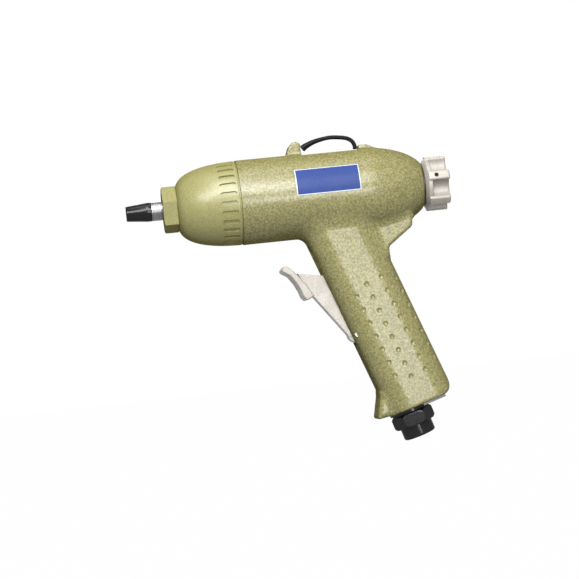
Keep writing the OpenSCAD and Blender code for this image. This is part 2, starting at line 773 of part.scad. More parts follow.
module planet_carrier() color(bare_steel) {
    difference() {
        union() {
            along(jaw_end + over, thread_x + over) hex_outline(drive_af);
            rod(thread_x, bearing_x + over, thread_r);
            rod(bearing_x, carrier_x + over, carrier_bearing_bore_r);
            rod(carrier_x, carrier_end, carrier_r);
        }
        rod(jaw_end, jaw_end + pilot_len + over, pilot_r + run);
        planet_pattern() rod(carrier_x - over, carrier_end + over, planet_pin_r + slip);
    }
}
module planet_pins() color(bare_steel) {
    planet_pattern() rod(carrier_x, planet_x + planet_w + face_gap, planet_pin_r);
}
module carrier_bearing_outer() color(bare_steel) {
    race_outer(bearing_x, carrier_bearing_w, carrier_bearing_bore_r, chamber_r);
}
module carrier_bearing_inner() color(bare_steel) {
    race_inner(bearing_x, carrier_bearing_w, carrier_bearing_bore_r, chamber_r);
}
module ring_gear() color(bare_steel) {
    along(spigot_len, ring_end) difference() {
        circle(r = bore_r - slip);
        ring_hole_outline();
    }
}
module planet_gear(i) color(bare_steel) {
    rotate([120 * i, 0, 0]) translate([0, planet_circle_r, 0]) difference() {
        along(planet_x, planet_x + planet_w)
            rotate(180 / planet_teeth - 120 * i) gear_outline(planet_teeth);
        rod(planet_x - over, planet_x + planet_w + over, planet_pin_r + run);
    }
}
module dowel_hole() {
    translate([0, 0, (cylinder_bore_r - eccentricity + bore_r) / 2])
        rod(front_plate_end - plate_wall, cylinder_end + plate_wall, dowel_r + slip);
}
module front_end_plate() color(bare_steel) {
    difference() {
        rod(ring_end, front_plate_end, bore_r - slip);
        rod(ring_end - over, ring_end + rotor_bearing_w, front_bearing_r);
        rod(ring_end, front_plate_end + over, front_bearing_bore_r + face_gap);
        dowel_hole();
    }
}
module front_bearing_outer() color(bare_steel) {
    race_outer(ring_end, rotor_bearing_w, front_bearing_bore_r, front_bearing_r);
}
module front_bearing_inner() color(bare_steel) {
    race_inner(ring_end, rotor_bearing_w, front_bearing_bore_r, front_bearing_r);
}
module cylinder_port(y) {
    translate([0, y, -bore_r])
        cylinder(h = bore_r, r = port_r);
}
module motor_cylinder() color(cast_metal) {
    difference() {
        rod(front_plate_end, cylinder_end, bore_r - slip);
        translate([0, 0, -eccentricity])
            rod(front_plate_end - over, cylinder_end + over, cylinder_bore_r);
        dowel_hole();
        for (x = [front_plate_end + cylinder_len / 3, cylinder_end - cylinder_len / 3])
            translate([x, 0, 0]) cylinder_port(exhaust_y);
        for (x = [front_plate_end + cylinder_len / 3, cylinder_end - cylinder_len / 3])
            translate([x, 0, 0]) cylinder_port(-exhaust_y);
    }
}
module cylinder_dowel() color(bare_steel) {
    translate([0, 0, (cylinder_bore_r - eccentricity + bore_r) / 2])
        rod(front_plate_end - plate_wall, cylinder_end + plate_wall, dowel_r);
}
module rotor() color(bare_steel) {
    difference() {
        union() {
            along(planet_x, ring_end + over) gear_outline(sun_teeth);
            rod(ring_end, front_plate_end + over, front_bearing_bore_r);
            rod(front_plate_end + vane_inset, cylinder_end - vane_inset, rotor_r);
            rod(cylinder_end - over, rear_plate_end, rear_bearing_bore_r);
        }
        for (i = [0 : vane_count - 1])
            rotate([360 * i / vane_count, 0, 0])
                translate([front_plate_end - vane_inset, -vane_t / 2 - vane_slot_clearance / 2,
                    rotor_r - vane_h - vane_slot_clearance])
                    cube([cylinder_len + 2 * vane_inset, vane_t + vane_slot_clearance, vane_h * 2]);
    }
}
module vanes() color(black_steel) {
    for (i = [0 : vane_count - 1])
        rotate([360 * i / vane_count, 0, 0])
            translate([front_plate_end + vane_inset, -vane_t / 2, rotor_r - vane_h])
                cube([cylinder_len - 2 * vane_inset, vane_t, vane_h - vane_slot_clearance]);
}
module rear_end_plate() color(bare_steel) {
    difference() {
        rod(cylinder_end, rear_plate_end, bore_r - slip);
        rod(cylinder_end - over, rear_plate_end, rear_bearing_bore_r + face_gap);
        rod(cylinder_end + plate_wall, rear_plate_end + over, rear_bearing_r);
        dowel_hole();
    }
}
module rear_bearing_outer() color(bare_steel) {
    race_outer(cylinder_end + plate_wall, rotor_bearing_w, rear_bearing_bore_r, rear_bearing_r);
}
module rear_bearing_inner() color(bare_steel) {
    race_inner(cylinder_end + plate_wall, rotor_bearing_w, rear_bearing_bore_r, rear_bearing_r);
}
module motor_gasket() color(rubber_black) {
    tube(rear_plate_end, motor_end, bore_r - slip, reverse_bush_r);
}
module reverse_bush() color(bronze) {
    difference() {
        tube(motor_end + slip, barrel_len - rear_wall - slip, reverse_bush_r, reverse_r + run);
        translate([(motor_end + barrel_len - rear_wall) / 2, 0, -reverse_bush_r - over])
            cylinder(h = 2 * reverse_bush_r + 2 * over, r = port_r);
    }
}
seal_places = [motor_end + seal_groove_inset, barrel_len - rear_wall - seal_groove_inset];
module seal_ring(x, r) {
    turned() translate([reverse_r - seal_section_r, x]) circle(r = r);
}
module reverse_valve() color(bare_steel) {
    middle = (motor_end + barrel_len - rear_wall) / 2;
    difference() {
        union() {
            rod(motor_end + face_gap, barrel_len, reverse_r);
            rod(barrel_len - over, knob_x, valve_neck_r);
            rod(knob_x - over, knob_x + knob_stem_len, knob_stem_r);
        }
        for (x = seal_places)
            turned() translate([reverse_r - 2 * seal_section_r - run, x - seal_section_r - run])
                square([4 * seal_section_r, 2 * seal_section_r + 2 * run]);
        for (side = [-1, 1])
            translate([middle, side * reverse_r, 0])
                cube([valve_port_len, 2 * valve_port_depth, 2 * reverse_r], center = true);
    }
}
module reverse_seals() color(rubber_black) {
    for (x = seal_places)
        seal_ring(x, seal_section_r);
}
scallop_share = 0.62;
module knob_outline() {
    scallop_r = knob_r * sin(180 / knob_lobes) * scallop_share;
    difference() {
        circle(r = knob_r);
        for (i = [0 : knob_lobes - 1])
            rotate(180 - knob_angle + 360 * (i + 1 / 2) / knob_lobes)
                translate([knob_valley_r + scallop_r, 0]) circle(r = scallop_r);
    }
}
module knob_screw_frame() {
    rotate([-knob_angle, 0, 0]) translate([knob_x + knob_screw_x, 0, 0]) rotate([90, 0, 0])
        children();
}
module knob() color(cast_metal) {
    difference() {
        union() {
            turned() polygon([[0, knob_x], [knob_r - 2 * knob_bevel, knob_x],
                [knob_r - knob_chamfer, knob_x + knob_bevel],
                [knob_r - knob_chamfer, knob_x + knob_flange_len], [0, knob_x + knob_flange_len]]);
            intersection() {
                along(knob_x + knob_flange_len - over, knob_end) knob_outline();
                turned() polygon([[0, knob_x], [knob_r, knob_x],
                    [knob_r, knob_end - knob_chamfer], [knob_r - knob_chamfer, knob_end],
                    [0, knob_end]]);
            }
        }
        rod(knob_x - over, knob_x + knob_stem_len + slip, knob_stem_r + slip);
        knob_screw_frame() cylinder(h = 2 * knob_r, r = knob_screw_r + slip);
    }
}
module knob_screw() color(black_steel) {
    knob_screw_frame() translate([0, 0, knob_stem_r + slip])
        cylinder(h = knob_screw_len, r = knob_screw_r);
}
// The bail's arch is a tube swept along a smooth curve, thick at its front end
function curve_at(p, i, t) =
    let (a = p[max(i - 1, 0)], b = p[i], c = p[i + 1], d = p[min(i + 2, len(p) - 1)])
    0.5 * (2 * b + (c - a) * t + (2 * a - 5 * b + 4 * c - d) * t * t
        + (3 * b - a - 3 * c + d) * t * t * t);
module bail() color(rubber_black) {
    pts = [for (p = bail_shares) [p[0] * bail_span, p[1] * bail_rise]];
    tube_sides = 8;
    parts = 3;
    count = (len(pts) - 1) * parts;
    path = [for (k = [0 : count])
        k == count ? pts[len(pts) - 1] : curve_at(pts, floor(k / parts), (k % parts) / parts)];
    rings = [for (k = [0 : count])
        let (step = path[min(k + 1, count)] - path[max(k - 1, 0)], run_in = min(k / count * 3, 1),
            r = bail_end_r + (bail_wire_r - bail_end_r) * run_in, side = [-step[1], step[0]] / norm(step))
        for (j = [0 : tube_sides - 1])
            let (b = 360 * (j + 1 / 2) / tube_sides)
            [path[k][0] + r * cos(b) * side[0], r * sin(b), path[k][1] + r * cos(b) * side[1]]];
    walls = [for (k = [0 : count - 1]) for (j = [0 : tube_sides - 1])
        let (n = (j + 1) % tube_sides, p = k * tube_sides, q = p + tube_sides)
        each [[p + j, p + n, q + n], [p + j, q + n, q + j]]];
    first = [for (j = [1 : tube_sides - 2]) [0, j + 1, j]];
    base = count * tube_sides;
    last = [for (j = [1 : tube_sides - 2]) [base, base + j, base + j + 1]];
    bail_frame() {
        rod(-bail_stub_len + face_gap, bail_end_len, bail_stub_r);
        rod(face_gap, bail_end_len, bail_end_r);
        polyhedron(points = rings, faces = concat(walls, first, last));
        rod(bail_span - 2 * face_gap - bail_wire_r, bail_span + bail_stub_len - face_gap,
            bail_stub_r);
    }
}
module label() color([0.20, 0.30, 0.60]) {
    half = label_w / barrel_r * 90 / PI;
    reach = 2 * barrel_r;
    intersection() {
        tube(label_x, label_x + label_len, barrel_r + label_t, barrel_r + label_t / 10);
        along(label_x - over, label_x + label_len + over)
            polygon([[0, 0], reach * [-cos(label_angle - half), sin(label_angle - half)],
                reach * [-cos(label_angle + half), sin(label_angle + half)]]);
    }
}
// The trigger's outlines run forward and up from its pivot
function from_pivot(shares) =
    [for (p = shares) [pivot_w - p[0] * trigger_reach, -pivot_s + p[1] * trigger_len]];
module trigger() color(cast_metal) {
    in_grip() difference() {
        union() {
            plate(pad_w / 2) polygon(from_pivot(pad_shares));
            plate(web_t / 2) polygon(from_pivot(web_shares));
            translate([pivot_w, 0, -pivot_s]) plate(web_t / 2) circle(r = trigger_boss_r);
        }
        translate([pivot_w, 0, -pivot_s]) plate(web_t) circle(r = trigger_pin_r + run);
    }
}
module trigger_pin() color(bare_steel) {
    pin_half = grip_w / 2 - grip_edge_r
        + sqrt(pow(grip_edge_r, 2) - pow(grip_edge_r - pivot_depth, 2)) - over;
    in_grip() translate([pivot_w, 0, -pivot_s]) rotate([90, 0, 0])
        cylinder(h = 2 * pin_half, r = trigger_pin_r, center = true);
}
module throttle_bush() color(bronze) {
    in_grip() difference() {
        across(slot_floor_w, seat_w, throttle_bush_r, throttle_s);
        across(slot_floor_w - over, seat_w, stem_r + run, throttle_s);
        across(delivery_w - port_hole_r, seat_w + over, stem_chamber_r, throttle_s);
        down(throttle_s - throttle_bush_r - over, throttle_s, port_hole_r, delivery_w, 0);
    }
}
module throttle_stem() color(bare_steel) {
    tip_w = web_back_w + stem_gap + stem_r;
    in_grip() {
        translate([tip_w, 0, -throttle_s]) sphere(r = stem_r);
        across(tip_w, head_w + over, stem_r, throttle_s);
        across(head_w, spring_w, head_r, throttle_s);
        across(spring_w - over, spring_w + spring_nub_len, spring_nub_r, throttle_s);
    }
}
module throttle_seal() color(rubber_black) {
    in_grip() difference() {
        across(head_w - seal_t, head_w, head_r, throttle_s);
        across(head_w - seal_t - over, head_w + over, stem_r + slip, throttle_s);
    }
}
module throttle_spring() color(bare_steel) {
    in_grip() translate([spring_w, 0, -throttle_s]) rotate([0, 90, 0])
        coil(throttle_spring_len, throttle_spring_r, throttle_wire_r, throttle_turns);
}
// Places down the inlet, from the grip's bottom face to the mouth
washer_z = -deflector_t - inlet_washer_t;
hex_z = washer_z - inlet_hex_len;
mouth_z = hex_z - inlet_collar_len;
module inlet_bushing() color(black_steel) {
    in_inlet() difference() {
        union() {
            translate([0, 0, washer_z - over])
                cylinder(h = inlet_boss_len + over - washer_z, r = inlet_boss_r);
            intersection() {
                translate([0, 0, hex_z]) linear_extrude(inlet_hex_len) hex_outline(inlet_af);
                translate([0, 0, hex_z]) rotate_extrude() polygon([[0, 0],
                    [inlet_af / 2, 0], [inlet_af / 2 / cos(30), inlet_chamfer],
                    [inlet_af / 2 / cos(30), inlet_hex_len - inlet_chamfer],
                    [inlet_af / 2, inlet_hex_len], [0, inlet_hex_len]]);
            }
            translate([0, 0, mouth_z]) rotate_extrude() polygon([[0, 0],
                [inlet_collar_r - inlet_chamfer, 0], [inlet_collar_r, inlet_chamfer],
                [inlet_collar_r, inlet_collar_len + over], [0, inlet_collar_len + over]]);
        }
        translate([0, 0, mouth_z - over])
            cylinder(h = inlet_thread_len + over, r = inlet_thread_r);
        translate([0, 0, mouth_z])
            cylinder(h = inlet_boss_len + 2 * inlet_thread_len, r = inlet_bore_r);
    }
}
module inlet_washer() color(rubber_black) {
    in_inlet() translate([0, 0, washer_z]) difference() {
        cylinder(h = inlet_washer_t, r = inlet_washer_r);
        translate([0, 0, -over])
            cylinder(h = inlet_washer_t + 2 * over, r = inlet_boss_r + slip);
    }
}
module inlet_screen() color(bare_steel) {
    in_inlet() translate([0, 0, mouth_z + inlet_thread_len + face_gap]) difference() {
        cylinder(h = screen_t, r = inlet_bore_r - slip);
        translate([0, 0, -over]) cylinder(h = screen_t + 2 * over, r = screen_hole_r);
        for (i = [0 : 5])
            rotate(60 * i) translate([inlet_bore_r / 2, 0, -over])
                cylinder(h = screen_t + 2 * over, r = screen_hole_r);
    }
}
module exhaust_deflector() color(black_steel) {
    in_inlet() translate([0, 0, -deflector_t]) difference() {
        union() {
            cylinder(h = deflector_t, r = deflector_r);
            translate([0, -deflector_half_w, 0])
                cube([deflector_reach, 2 * deflector_half_w, deflector_t]);
        }
        translate([0, 0, -over])
            cylinder(h = deflector_t + 2 * over, r = inlet_boss_r + slip);
    }
}
module silencers() color(cast_metal) {
    for (y = [-exhaust_y, exhaust_y])
        in_grip() down(grip_len - silencer_len, grip_len, exhaust_r - slip, exhaust_w, y);
}

main_housing();
clutch_housing();
nose_nut();
nose_bush();
thrust_washer();
spindle();
bit_holder();
clutch_balls();
clutch_cam();
clutch_spring();
spring_nut();
planet_carrier();
planet_pins();
carrier_bearing_outer();
carrier_bearing_inner();
ring_gear();
planet_gear(0);  // planet_gear_1
planet_gear(1);  // planet_gear_2
planet_gear(2);  // planet_gear_3
front_end_plate();
front_bearing_outer();
front_bearing_inner();
motor_cylinder();
cylinder_dowel();
rotor();
vanes();
rear_end_plate();
rear_bearing_outer();
rear_bearing_inner();
motor_gasket();
reverse_bush();
reverse_valve();
reverse_seals();
knob();
knob_screw();
bail();
label();
trigger();
trigger_pin();
throttle_bush();
throttle_stem();
throttle_seal();
throttle_spring();
inlet_bushing();
inlet_washer();
inlet_screen();
exhaust_deflector();
silencers();
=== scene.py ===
import json
import math

import bmesh
import bpy
import numpy as np
from mathutils import Matrix, Vector


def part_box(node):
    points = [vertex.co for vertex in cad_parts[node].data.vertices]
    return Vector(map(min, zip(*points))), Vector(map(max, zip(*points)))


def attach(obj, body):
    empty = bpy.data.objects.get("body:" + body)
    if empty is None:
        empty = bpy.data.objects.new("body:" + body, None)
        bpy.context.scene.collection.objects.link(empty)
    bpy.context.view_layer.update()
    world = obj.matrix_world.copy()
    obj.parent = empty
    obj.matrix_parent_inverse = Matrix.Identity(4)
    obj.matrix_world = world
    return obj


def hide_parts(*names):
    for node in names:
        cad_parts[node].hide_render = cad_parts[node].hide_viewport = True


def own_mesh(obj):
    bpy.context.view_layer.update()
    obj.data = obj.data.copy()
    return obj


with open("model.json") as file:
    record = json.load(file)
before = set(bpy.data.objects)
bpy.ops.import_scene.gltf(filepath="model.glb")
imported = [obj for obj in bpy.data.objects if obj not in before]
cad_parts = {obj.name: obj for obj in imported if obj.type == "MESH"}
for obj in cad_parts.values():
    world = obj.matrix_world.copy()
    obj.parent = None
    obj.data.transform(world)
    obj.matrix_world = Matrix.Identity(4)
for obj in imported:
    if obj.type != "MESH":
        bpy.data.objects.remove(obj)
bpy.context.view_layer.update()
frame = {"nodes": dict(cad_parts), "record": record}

MM = 0.001
# How far a cutter or a joined piece runs past the face that it meets
OVERRUN = 1 * MM


def in_mm(points):
    return [(u * MM, v * MM) for u, v in points]


# Barrel and its rear dome
BARREL_R = 25 * MM
BARREL_LEN = 109.2 * MM
DOME_X = 74.7 * MM
DOME_HALF = 40 * MM
DOME_POWER = 0.85
DOME_STOP = 0.98
RIM_ROUND = 0.5 * MM
# Bores along the barrel
MOTOR_BORE_R = 21.2 * MM
MOTOR_END = 79.8 * MM
VALVE_BORE_R = 13.05 * MM
REAR_WALL = 4.7 * MM
VALVE_HOLE_R = 9.3 * MM
# Flat, ear and hump under the hanger, with outlines in (x, z)
FLAT_Z = 23.9 * MM
FLAT_HALF_W = 12 * MM
EAR_BACK = 39.7 * MM
EAR_HALF_W = 4.5 * MM
EAR_EDGE = 0.9 * MM
EAR_FILLET = 1.2 * MM
EAR = in_mm([(31.2, 20), (31.2, 26), (32.6, 29.6), (34.6, 31.7), (37, 32.4), (39, 31.6), (39.7, 30.3),
             (39.7, 20)])
HUMP_X = 74.2 * MM
HUMP_HALF_W = 3.2 * MM
HUMP_EDGE = 0.7 * MM
HUMP_FILLET = 0.8 * MM
HUMP = in_mm([(74.2, 20), (74.2, 27), (79.2, 27), (85.2, 23.9), (85.2, 20)])
# Grip
GRIP_X = 49.2 * MM
RAKE = math.radians(19.5)
GRIP_LEN = 136 * MM
GRIP_HALF_D = 20.25 * MM
GRIP_HALF_W = 17.5 * MM
GRIP_EDGE_R = 13 * MM
HEEL_R = 8 * MM
FOOT_ROUND = 1.4 * MM
GRIP_FILLET = 4.5 * MM
INLET_W = -7.6 * MM
INLET_TILT = math.radians(2.8)
# Tang behind the grip, and the toe in front of its foot
TANG = in_mm([(101.3, -18.9), (100.3, -20.5), (99.7, -24.2), (98.7, -25.3), (85.5, -34.7), (84.7, -36),
              (84.4, -41), (70, -41), (70, -12.5), (98.3, -15)])
TANG_HALF_W = 13 * MM
TANG_EDGE = 2 * MM
TANG_FILLET = 3 * MM
TOE_REACH = 7.6 * MM
TOE_H = 15 * MM
TOE_CHIN = 1.4 * MM
TOE_HALF_W = 11 * MM
TOE_ROUND = 3 * MM
# Dimples on both flanks of the grip
DIMPLE_R = 1.6 * MM
DIMPLE_DEPTH = 0.8 * MM
DIMPLE_PITCH = 8.5 * MM
DIMPLE_S = 59.1 * MM
DIMPLE_ROWS = 8
# Each column's place across the grip, and 1 where its rows lie half a pitch lower
DIMPLE_COLUMNS = [(-9.2 * MM, 1), (-1 * MM, 0), (8.5 * MM, 0), (16.7 * MM, 1)]
# Trigger slot in the grip
SLOT_HALF_W = 4.7 * MM
SLOT_TOP_S = 26 * MM
SLOT_END_S = 89.5 * MM
SLOT_DEPTH = 14 * MM
# Nose: the clutch housing in front of the barrel
SEAM_X = -0.6 * MM
NOSE_X = -36.3 * MM
NOSE_R = 24.8 * MM
NOSE_HALF = 36.72 * MM
NOSE_POWER = 0.45
NOSE_STEPS = 48
NOSE_FRONT_ROUND = 0.6 * MM
SPIGOT_LEN = 20 * MM
SPIGOT_ROUND = 0.5 * MM
CHAMBER_R = 18 * MM
CHAMBER_ROUND = 0.5 * MM
MOUTH_ROUND = 0.3 * MM
CHAMBER_X = -25.3 * MM
NUT_THREAD_R = 10.95 * MM
SLOT_COUNT = 28
SLOT_X = (-11.6 * MM, -2.1 * MM)
SLOT_W = 2.6 * MM
SLOT_RECESS = 0.95 * MM
SLOT_DRAFT = 0.1 * MM
SLOT_TURN = math.radians(4.3)
SLOT_END_STEPS = 8
SEAM_ROUND = 0.5 * MM
SEAM_DEPTH = 0.8 * MM
SLIP = 0.05 * MM
# Nose nut, its bush and the bit holder
NUT_X = -44.8 * MM
NUT_END = -26.3 * MM
NUT_HALF = 12 * MM
NUT_TURN = math.radians(16)
NUT_EDGE = 0.35 * MM
NUT_CHAMFER_SHARE = 1.08
NUT_HOLE_R = 5.9 * MM
NUT_LIP = 2 * MM
NOSE_BUSH_R = 7.6 * MM
SPINDLE_R = 5.6 * MM
HOLDER_X = -66.3 * MM
HOLDER_LEN = 15 * MM
HOLDER_END = HOLDER_X + HOLDER_LEN
HOLDER_TIP_R = 4.4 * MM
HOLDER_ROUND = 0.5 * MM
# Where its taper bends, as shares of its length and of its widening
HOLDER_BEND_SHARES = (0.6, 0.72)
HOLDER_FULL_SHARE = 0.8
HOLDER_BEND_ROUND = 6 * MM
HOLDER_FULL_ROUND = 3 * MM
HOLDER_SOCKET = 10 * MM
SHANK_LEN = 19.9 * MM
SHANK_HALF = 3.175 * MM
SOCKET_PLAY = 0.05 * MM
# Knob of the reverse valve
KNOB_X = 110.2 * MM
KNOB_END = 124.7 * MM
KNOB_R = 16.2 * MM
KNOB_FLANGE = 4 * MM
KNOB_BEVEL = 1.8 * MM
KNOB_CHAMFER = 1 * MM
KNOB_EDGE = 0.4 * MM
KNOB_LOBES = 6
KNOB_TURN = math.radians(13)
KNOB_VALLEY_R = 10.5 * MM
SCALLOP_R = 5.02 * MM
LOBE_ROUND = 1.5 * MM
KNOB_STEM = 8.85 * MM
STEM_R = 5.05 * MM
KNOB_SCREW_X = 6.5 * MM
KNOB_SCREW_R = 1.3 * MM
# Trigger, from its pivot. Shares are of its reach towards the front and of its length upwards.
PIVOT_W = -17.85 * MM
PIVOT_S = 83.4 * MM
TRIGGER_REACH = 24.4 * MM
TRIGGER_LEN = 52.6 * MM
PAD_SHARES = [(1, 1), (0.85, 0.914), (0.79, 0.814), (0.765, 0.709), (0.773, 0.639), (0.74, 0.593),
              (0.69, 0.58), (0.575, 0.589), (0.53, 0.603), (0.545, 0.627), (0.576, 0.724), (0.651, 0.848),
              (0.741, 0.954), (0.843, 1.044)]
WEB_SHARES = [(0.639, 0.897), (0.149, 0.766), (-0.143, 0.73), (-0.143, 0.08), (0.02, -0.02), (0.169, 0.013),
              (0.53, 0.586), (0.6, 0.75)]
PAD_HALF_W = 10 * MM
PAD_BEND = 1.5 * MM
PAD_EDGE = 0.8 * MM
PAD_FILLET = 0.8 * MM
WEB_HALF_W = 4.2 * MM
WEB_EDGE = 0.5 * MM
BOSS_R = 4.6 * MM
TRIGGER_HOLE_R = 1.54 * MM
# Hanger's bail, from the ear to the hump. Shares are of its span and its rise.
BAIL_Z = 28.2 * MM
BAIL_SPAN = 34.6 * MM
BAIL_DROP = 2.7 * MM
BAIL_RISE = 6.55 * MM
BAIL_SHARES = [(0.04, 0.02), (0.115, 0.3), (0.26, 0.67), (0.49, 0.985), (0.69, 1), (0.83, 0.88),
               (0.91, 0.61), (0.948, 0.25), (0.953, -0.1)]
BAIL_END_R = 2.1 * MM
BAIL_WIRE_R = 1.25 * MM
BAIL_TIP_ROUND = 0.5 * MM
BAIL_TAPER_SHARE = 1 / 3
BAIL_SIDES = 20
# Label on the barrel's left side
LABEL_X = 32.5 * MM
LABEL_LEN = 37.5 * MM
LABEL_W = 15.9 * MM
LABEL_TURN = math.radians(15)
LABEL_T = 0.39 * MM
LABEL_FOOT_SHARE = 0.1
LABEL_BACKING_SHARE = 0.7
LABEL_BORDER = 0.5 * MM
LABEL_STEPS = 24
# Air inlet under the grip's foot
INLET_BOSS_LEN = 18 * MM
INLET_BOSS_R = 8.5 * MM
INLET_HALF = 11 * MM
INLET_TURN = math.radians(6)
INLET_CHAMFER = 1 * MM
HEX_CHAMFER_SHARE = 0.05
INLET_EDGE = 0.35 * MM
HEX_X = 2.6 * MM
HEX_END = HEX_X + 8 * MM
COLLAR_R = 9.65 * MM
COLLAR_ROUND = 1.2 * MM
MOUTH_X = HEX_END + 7 * MM
INLET_THREAD_R = 5.9 * MM
INLET_THREAD_LEN = 14 * MM
INLET_BORE_R = 4 * MM
# Springs of the clutch and the throttle, with how many end turns lie closed
SPRING_CLOSED = 0.8
SPRING_STEPS = 20
SPRING_SIDES = 10
CAM_END = -10.35 * MM
CLUTCH_SPRING_LEN = 10 * MM
CLUTCH_SPRING_R = 9.6 * MM
CLUTCH_WIRE_R = 0.9 * MM
CLUTCH_TURNS = 4
THROTTLE_S = 60 * MM
THROTTLE_SPRING_W = 3.7 * MM
THROTTLE_SPRING_LEN = 11 * MM
THROTTLE_SPRING_R = 3.3 * MM
THROTTLE_WIRE_R = 0.5 * MM
THROTTLE_TURNS = 5
# Turned outlines meet the axis below this radius
ON_AXIS = 1e-4 * MM
# How fine the moulded pieces' meshes are
HOUSING_CELL = 0.6 * MM
FINE_CELL = 0.3 * MM

# Distance fields. Each is negative inside the metal, in metres.


def grow(a, b, r):
    """Union of two fields, with a fillet of radius r in the corner between them."""
    u = np.maximum(r - a, 0)
    v = np.maximum(r - b, 0)
    return np.maximum(r, np.minimum(a, b)) - np.hypot(u, v)


def keep(a, b, r):
    """What two fields share, with the edge between them rounded to radius r."""
    return -grow(-a, -b, r)


def rounded_box(u, v, half_u, half_v, r):
    """A rectangle with round corners."""
    du = np.abs(u) - (half_u - r)
    dv = np.abs(v) - (half_v - r)
    return np.hypot(np.maximum(du, 0), np.maximum(dv, 0)) + np.minimum(np.maximum(du, dv), 0) - r


def outline(u, v, points):
    """Distance to a closed outline of straight lines."""
    best = np.full(np.broadcast(u, v).shape, 1e3)
    sign = np.ones(best.shape)
    for i, (au, av) in enumerate(points):
        bu, bv = points[i - 1]
        eu, ev = bu - au, bv - av
        wu, wv = u - au, v - av
        t = np.clip((wu * eu + wv * ev) / (eu * eu + ev * ev), 0, 1)
        best = np.minimum(best, (wu - eu * t) ** 2 + (wv - ev * t) ** 2)
        above, below = v >= av, v < bv
        left = eu * wv > ev * wu
        flip = (above & below & left) | (~above & ~below & ~left)
        sign = np.where(flip, -sign, sign)
    return sign * np.sqrt(best)


def plate(u, v, across, points, half_w, edge):
    """An outline's plate, half on each side of the middle."""
    return keep(outline(u, v, points), np.abs(across) - half_w, edge)


def to_grip(x, z):
    """Places across the grip, w, and down it, s."""
    dx = x - GRIP_X
    return dx * math.cos(RAKE) + z * math.sin(RAKE), dx * math.sin(RAKE) - z * math.cos(RAKE)


def barrel_field(x, y, z):
    """The barrel with its dome, and the flat on its top."""
    t = np.clip((x - DOME_X) / DOME_HALF, 0, DOME_STOP)
    c = np.sqrt(1 - t * t)
    r = BARREL_R * c ** DOME_POWER
    slope = DOME_POWER * r * t / (c * c * DOME_HALF)
    side = (np.hypot(y, z) - r) / np.sqrt(1 + slope * slope)
    d = keep(side, x - BARREL_LEN, RIM_ROUND)
    d = keep(d, -x, RIM_ROUND)
    flat = np.maximum(np.maximum(FLAT_Z - z, EAR_BACK - x), np.maximum(x - HUMP_X, np.abs(y) - FLAT_HALF_W))
    return keep(d, -flat, RIM_ROUND)


def grip_field(x, y, z):
    """The grip with its round heel, and the toe in front of its foot."""
    w, s = to_grip(x, z)
    sides = rounded_box(w, y, GRIP_HALF_D, GRIP_HALF_W, GRIP_EDGE_R)
    foot = (s - GRIP_LEN - (w - INLET_W) * math.tan(INLET_TILT)) * math.cos(INLET_TILT)
    heel = keep(w - GRIP_HALF_D, foot, HEEL_R)
    d = np.maximum(keep(sides, heel, FOOT_ROUND), -s)
    front, root, tip = -GRIP_HALF_D, TOE_H / 2 - GRIP_HALF_D, -GRIP_HALF_D - TOE_REACH
    sole = -GRIP_LEN + (GRIP_HALF_D + INLET_W) * math.tan(INLET_TILT)
    toe = [(root, sole + TOE_H), (front, sole + TOE_H), (tip, sole + 2 * TOE_CHIN), (tip, sole + TOE_CHIN),
           (front, sole), (root, sole)]
    return grow(d, plate(w, -s, y, toe, TOE_HALF_W, TOE_ROUND), GRIP_FILLET / 2)


def housing_field(x, y, z):
    d = grow(barrel_field(x, y, z), grip_field(x, y, z), GRIP_FILLET)
    d = grow(d, plate(x, z, y, TANG, TANG_HALF_W, TANG_EDGE), TANG_FILLET)
    d = grow(d, plate(x, z, y, EAR, EAR_HALF_W, EAR_EDGE), EAR_FILLET)
    return grow(d, plate(x, z, y, HUMP, HUMP_HALF_W, HUMP_EDGE), HUMP_FILLET)


def gradient(field, p, h):
    """The field's slope at each point, by steps of h."""
    steps = np.eye(3) * h
    return np.stack([field(*(p + e).T) - field(*(p - e).T) for e in steps], 1) / (2 * h)


def sample(field, axes, slab=24):
    """The field's values on a grid, worked out a few layers at a time."""
    d = np.empty([len(a) for a in axes])
    for i in range(0, len(axes[0]), slab):
        layers = axes[0][i:i + slab, None, None]
        d[i:i + slab] = field(layers, axes[1][None, :, None], axes[2][None, None, :])
    return d


def quads_between(inside, index):
    """A quad across each grid edge that passes through the surface."""
    quads = []
    for axis in range(3):
        u, v = (axis + 1) % 3, (axis + 2) % 3
        first = [slice(None)] * 3
        second = [slice(None)] * 3
        first[axis], second[axis] = slice(None, -1), slice(1, None)
        a, b = inside[tuple(first)], inside[tuple(second)]
        for rising in (False, True):
            found = np.argwhere((a != b) & (a == rising))
            found = found[(found[:, u] > 0) & (found[:, v] > 0)]
            ring = []
            for du, dv in ((1, 1), (0, 1), (0, 0), (1, 0)):
                cells = found.copy()
                cells[:, u] -= du
                cells[:, v] -= dv
                ring.append(index[cells[:, 0], cells[:, 1], cells[:, 2]])
            ring = np.stack(ring, 1)
            quads.append(ring if rising else ring[:, ::-1])
    return np.concatenate(quads)


